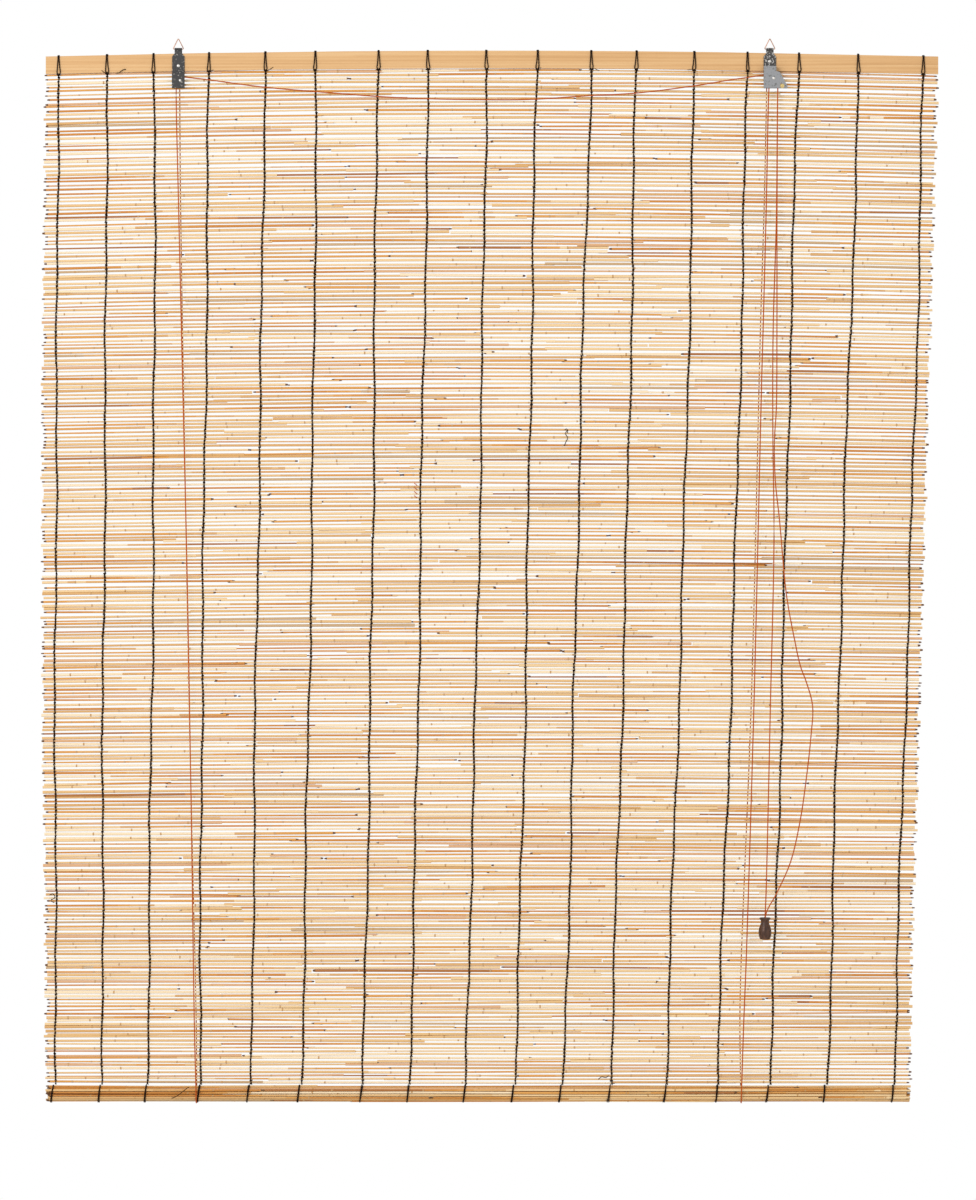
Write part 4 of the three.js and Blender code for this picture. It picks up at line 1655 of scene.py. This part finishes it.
@dataclass
class CordWork:
    """All the cords: the lifting loops, the cord across the top and the pull cords."""

    mat: ReedMat
    radius: float = 1.0 * MM

    def build(self) -> None:
        """Builds the pull cords first, then the rest."""
        left, rear = Pulley("left_sheave"), Pulley("right_rear_sheave")
        front = Pulley("right_front_sheave")
        Tassel(rear, front).build()
        LiftLoop("left", left, self.mat, LEFT_FRONT, LEFT_BACK, -496).build()
        LiftLoop("right", front, self.mat, RIGHT_FRONT, RIGHT_BACK, 418).build()
        self.across(left, rear)
        self.round_pulley("left_pulley_turn", left, 90, 180)
        self.round_pulley("right_rear_pulley_turn", rear, 90, -5)
        self.round_pulley("right_front_pulley_turn", front, 180, -5)
        for side, x in (("left", LEFT_BACK[0][0]), ("right", RIGHT_BACK[0][0])):
            self.tack_knot(side, x * MM)

    def across(self, left: Pulley, right: Pulley) -> None:
        """Builds the cord across the top.

        Args:
            left: The pulley that it starts over.
            right: The pulley that it ends over.
        """
        start, end = left.at(90), right.at(90)
        points = [start]
        for x, z in CROSS_ROUTE:
            t = (x * MM - start.x) / (end.x - start.x)
            points.append(Vector((x * MM, start.y + (end.y - start.y) * t, z * MM)))
        points.append(end)
        bm = bmesh.new()
        sweep(bm, curve_through(points, 5), self.radius, 8)
        piece = add_piece("cross_cord_line", bm, [CORD], "cord", "head")
        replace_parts(piece, "cross_cord")
        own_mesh(piece)

    def round_pulley(self, name: str, pulley: Pulley, start: float, end: float) -> None:
        """Builds the stretch of cord that lies on a pulley between two angles."""
        bm = bmesh.new()
        sweep(bm, arc(pulley.centre, pulley.radius, start, end, 14), self.radius, 8)
        add_piece(name, bm, [CORD], "cord", "head")

    def tack_knot(self, side: str, x: float) -> None:
        """Builds the knot that ties a back fall to its tack behind the rail.

        Args:
            side: left or right.
            x: The back fall's place along X.
        """
        tack = middle_of(f"{side}_cord_tack")
        bm = bmesh.new()
        around = arc(Vector((tack.x, 6.6 * MM, tack.z)), 1.9 * MM, 0, 360, 12)
        round_tack = [p + Vector((0, 0.25 * MM * math.tau * i / 12, 0)) for i, p in enumerate(around)]
        sweep(bm, round_tack, self.radius, 8)
        sweep(bm, knot_line(Vector((x, 7.4 * MM, tack.z - 3.6 * MM)), 0.75 * MM), 0.9 * MM, 8)
        add_piece(f"{side}_tack_knot", bm, [CORD], "cord", "head")


# ---------------------------------------------------------------- brackets


@dataclass
class Bracket:
    """A hanging bracket: its plates, axle, nail, ring and tack.

    Attributes:
        side: left or right.
        plate: The finish of the back plate.
        front: The finish of the front plate.
        front_node: The frame node of the front plate.
        front_slot: The record's slot of the front plate.
        wire: The ring wire's radius.
    """

    side: str
    plate: Finish
    front: Finish
    front_node: str
    front_slot: str
    wire: float = 0.8 * MM

    def build(self) -> None:
        """Builds every part of the bracket."""
        side = self.side
        refined(f"{side}_strap", f"{side}_back_plate", [self.plate], "dark_metal", "head", 0.22 * MM)
        refined(f"{side}_housing", self.front_node, [self.front], self.front_slot, "head", 0.22 * MM)
        self.rivet()
        self.nail()
        refined(f"{side}_tack", f"{side}_cord_tack", [STEEL], "steel", "head", 0.2 * MM)
        self.ring()

    def dome(self, name: str, node: str, crown: float) -> None:
        """Builds a rivet or nail head as a shallow dome on its shank, in place of its node.

        Args:
            name: The piece's name.
            node: The frame node.
            crown: How far the dome rises in front of its rim.
        """
        low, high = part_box(node)
        middle = Vector(((low.x + high.x) / 2, low.y, (low.z + high.z) / 2))
        radius = (high.x - low.x) / 2
        shank = radius * 0.5
        length = high.y - low.y
        section = [
            (0.0, 0.0),
            (radius * 0.45, crown * 0.12),
            (radius * 0.78, crown * 0.42),
            (radius * 0.96, crown),
            (radius, crown + 0.25 * MM),
            (radius * 0.9, crown + 0.5 * MM),
            (shank, crown + 0.55 * MM),
            (shank, length - 0.3 * MM),
            (shank * 0.7, length),
            (0.0, length),
        ]
        bm = turned([middle + Vector((r, y, 0)) for r, y in section], middle, Vector((0, 1, 0)), 28)
        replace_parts(add_piece(name, bm, [STEEL], "steel", "head"), node)

    def rivet(self) -> None:
        """Builds the axle's riveted end."""
        self.dome(f"{self.side}_axle_rivet", f"{self.side}_axle", 0.55 * MM)

    def nail(self) -> None:
        """Builds the nail that holds the bracket to the rail."""
        self.dome(f"{self.side}_nail", f"{self.side}_rail_nail", 0.7 * MM)

    def ring(self) -> None:
        """Builds the three-cornered wire ring."""
        node = f"{self.side}_hanging_ring"
        low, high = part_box(node)
        middle = (low + high) / 2
        wide = (high.x - low.x) / 2 - self.wire
        foot, peak = low.z + self.wire, high.z - self.wire
        corners = [
            Vector((middle.x, middle.y, foot)),
            Vector((middle.x + wide, middle.y, foot)),
            Vector((middle.x, middle.y, peak)),
            Vector((middle.x - wide, middle.y, foot)),
        ]
        points = [corners[0]]
        for i, reach in ((1, 2.6 * MM), (2, 2.6 * MM), (3, 2.6 * MM)):
            before, corner, after = corners[i - 1], corners[i], corners[(i + 1) % 4]
            a = corner + (before - corner).normalized() * reach
            b = corner + (after - corner).normalized() * reach
            for k in range(7):
                t = k / 6
                points.append(a * (1 - t) ** 2 + corner * 2 * t * (1 - t) + b * t * t)
        points.append(corners[0])
        bm = bmesh.new()
        sweep(bm, points, self.wire, 10)
        piece = add_piece(f"{self.side}_ring", bm, [WIRE], "ring_wire", f"{self.side}_ring")
        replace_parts(piece, node)


@dataclass
class LockRoller:
    """The ribbed roller that grips the pull cords.

    Attributes:
        ribs: How many ribs it has.
        groove: How deep the grooves between them are.
    """

    ribs: int = 20
    groove: float = 0.3 * MM

    def build(self) -> None:
        """Builds the roller, in place of its node."""
        low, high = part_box("lock_roller")
        middle = (low + high) / 2
        radius = (high.x - low.x) / 2
        turn = Matrix.Rotation(math.pi / 2, 4, "X")
        bm = bmesh.new()
        made = bmesh.ops.create_cone(
            bm,
            cap_ends=True,
            segments=2 * self.ribs,
            radius1=radius,
            radius2=radius,
            depth=high.y - low.y,
            matrix=Matrix.Translation(middle) @ turn,
        )
        for vert in made["verts"]:
            out = Vector((vert.co.x - middle.x, 0, vert.co.z - middle.z))
            step = round(math.atan2(out.z, out.x) / (math.pi / self.ribs))
            if step % 2:
                vert.co -= out.normalized() * self.groove
        caps = [f for f in bm.faces if len(f.verts) > 4]
        for cap in caps:
            bmesh.ops.inset_region(bm, faces=[cap], thickness=0.9 * MM, depth=0.0)
        piece = add_piece("lock_roller_ribbed", bm, [BRASS], "brass", "lock_roller")
        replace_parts(piece, "lock_roller")


# ---------------------------------------------------------------- loose threads


@dataclass
class LooseThreads:
    """Short loose ends of twine on the face of the mat."""

    mat: ReedMat
    radius: float = 0.7 * MM

    def build(self) -> None:
        """Builds each thread."""
        twine = (
            (
                "thread_middle",
                (126, -4.6, -657),
                ((0, 0, 0), (-3, -1, -5), (1, -1.5, -12), (-2, -1, -19), (-5, 0, -26)),
            ),
            (
                "thread_middle_hook",
                (122, -4.6, -656),
                ((0, 0, 0), (3, -1, 2), (5, -1, -2), (4, 0, -5)),
            ),
            (
                "thread_right_foot",
                (178, -4.8, -1745),
                ((0, 0, 0), (6, -1, 4), (13, -1, 3), (18, 0, 6)),
            ),
            (
                "thread_edge",
                (-738, -4.8, -1440),
                ((-4, 0, 4), (2, -2, 6), (5, -1, 0), (-2, -2, -5), (4, 0, -9)),
            ),
            (
                "thread_top_left",
                (-630, -5.2, -58),
                ((0, 0, 0), (6, -1, 2), (11, -1, 6), (16, 0, 7)),
            ),
        )
        for name, place, shape in twine:
            self.thread(name, place, shape, TWINE, "twine")
        foot = ((-28, 0, -2), (-20, -0.6, 1), (-12, -1.2, 7), (-2, -0.6, 15), (1, 0, 17))
        self.thread("thread_bundle", (-509, -17.2, -1774), foot, TWINE, "twine", "bottom_roll")
        stitch = ((-2.5, 0, 2), (0, -1, 0), (2.5, 0, -2))
        for i in range(4):
            self.thread(f"cord_stitch_{i + 1}", (-128, -4.4, -747 - 7 * i), stitch, CORD, "cord")

    def thread(
        self,
        name: str,
        place: tuple[float, float, float],
        shape: Sequence[tuple[float, float, float]],
        finish: Finish,
        slot: str,
        body: str = "head",
    ) -> None:
        """Builds one thread.

        Args:
            name: The piece's name.
            place: Where it lies, in millimetres.
            shape: Its points from there, in millimetres.
            finish: Its finish.
            slot: The record's material slot.
            body: The body that it rides on.
        """
        base = Vector(place) * MM
        bm = bmesh.new()
        sweep(bm, curve_through([base + Vector(p) * MM for p in shape], 4), self.radius, 6)
        piece = add_piece(name, bm, [finish], slot, body)
        if body == "head" and base.z < self.mat.top:
            carry(piece, self.mat.shift(base.z))


# ---------------------------------------------------------------- studio


@dataclass
class Studio:
    """The camera, the lights, the pale floor and the white surround.

    Attributes:
        picture_height: How much height the picture takes in at the blind.
        distance: How far away the camera is.
        floor_z: The floor's height, below the tassel at its lowest.
        key_watts: The power of the key light.
    """

    picture_height: float = 2.0136
    distance: float = 12.0
    floor_z: float = -4.95
    key_watts: float = 190.0

    def build(self) -> None:
        """Builds the whole studio."""
        low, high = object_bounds()
        middle = (low + high) / 2 + Vector((-6.7 * MM, 0, -49 * MM))
        self.camera(Vector((middle.x, 0, middle.z)))
        self.surround()
        self.floor()
        self.light("key_light", Vector((-3.2, -5.2, 1.6)), middle, 3.4, self.key_watts)
        self.light("fill_light", Vector((4.0, -5.0, -0.4)), middle, 3.0, self.key_watts * 0.1)

    def camera(self, target: Vector) -> None:
        """Puts the camera straight in front of a point.

        Args:
            target: The point.
        """
        data = bpy.data.cameras.new("camera")
        data.sensor_width = 36.0
        data.lens = data.sensor_width * self.distance / self.picture_height
        data.clip_end = 200.0
        camera = bpy.data.objects.new("camera", data)
        camera.location = target + Vector((0, -self.distance, 0))
        camera.rotation_euler = (math.pi / 2, 0, 0)
        bpy.context.collection.objects.link(camera)
        bpy.context.scene.camera = camera

    def surround(self) -> None:
        """Lights the scene evenly from a white surround."""
        world = bpy.data.worlds.new("white_surround")
        world.use_nodes = True
        world.node_tree.nodes["Background"].inputs["Color"].default_value = (1, 1, 1, 1)
        world.node_tree.nodes["Background"].inputs["Strength"].default_value = 1.0
        bpy.context.scene.world = world
        bpy.context.scene.view_settings.view_transform = "Standard"

    def floor(self) -> None:
        """Builds the pale floor."""
        bm = bmesh.new()
        level = Matrix.Translation((0, 0, self.floor_z))
        bmesh.ops.create_circle(bm, cap_ends=True, segments=96, radius=34.0, matrix=level)
        mesh = bpy.data.meshes.new("pale_floor")
        bm.to_mesh(mesh)
        bm.free()
        shader = Shader("pale_floor", 0.8)
        shader.colour((0.88, 0.88, 0.87, 1.0))
        mesh.materials.append(shader.material)
        floor = bpy.data.objects.new("pale_floor", mesh)
        bpy.context.collection.objects.link(floor)
        floor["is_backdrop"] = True

    def light(self, name: str, place: Vector, target: Vector, size: float, watts: float) -> None:
        """Adds a square soft light that faces a point.

        Args:
            name: The light's name.
            place: Where it stands.
            target: The point that it faces.
            size: How wide it is.
            watts: Its power.
        """
        data = bpy.data.lights.new(name, "AREA")
        data.size = size
        data.energy = watts
        lamp = bpy.data.objects.new(name, data)
        lamp.location = place
        lamp.rotation_euler = (target - place).to_track_quat("-Z", "Y").to_euler()
        bpy.context.collection.objects.link(lamp)


def main() -> None:
    """Builds the blind over its frame."""
    logging.basicConfig(level=logging.INFO, format="%(message)s")
    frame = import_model()
    lift = next(joint for joint in frame["joints"] if joint["name"] == "lift")
    Studio().build()
    mat = ReedMat(max(lift["range_m"]))
    CordWork(mat).build()
    HeadRail(mat).build()
    mat.build()
    ReedBundle(mat).build()
    Bracket("left", ENAMEL, ENAMEL, "left_pulley_cover", "dark_metal").build()
    Bracket("right", PATCHY_ENAMEL, ZINC, "right_lock_cheek", "zinc").build()
    LockRoller().build()
    for node in ("left_sheave", "right_rear_sheave", "right_front_sheave"):
        dress(node, BRASS)
    LooseThreads(mat).build()


if __name__ == "__main__":
    main()
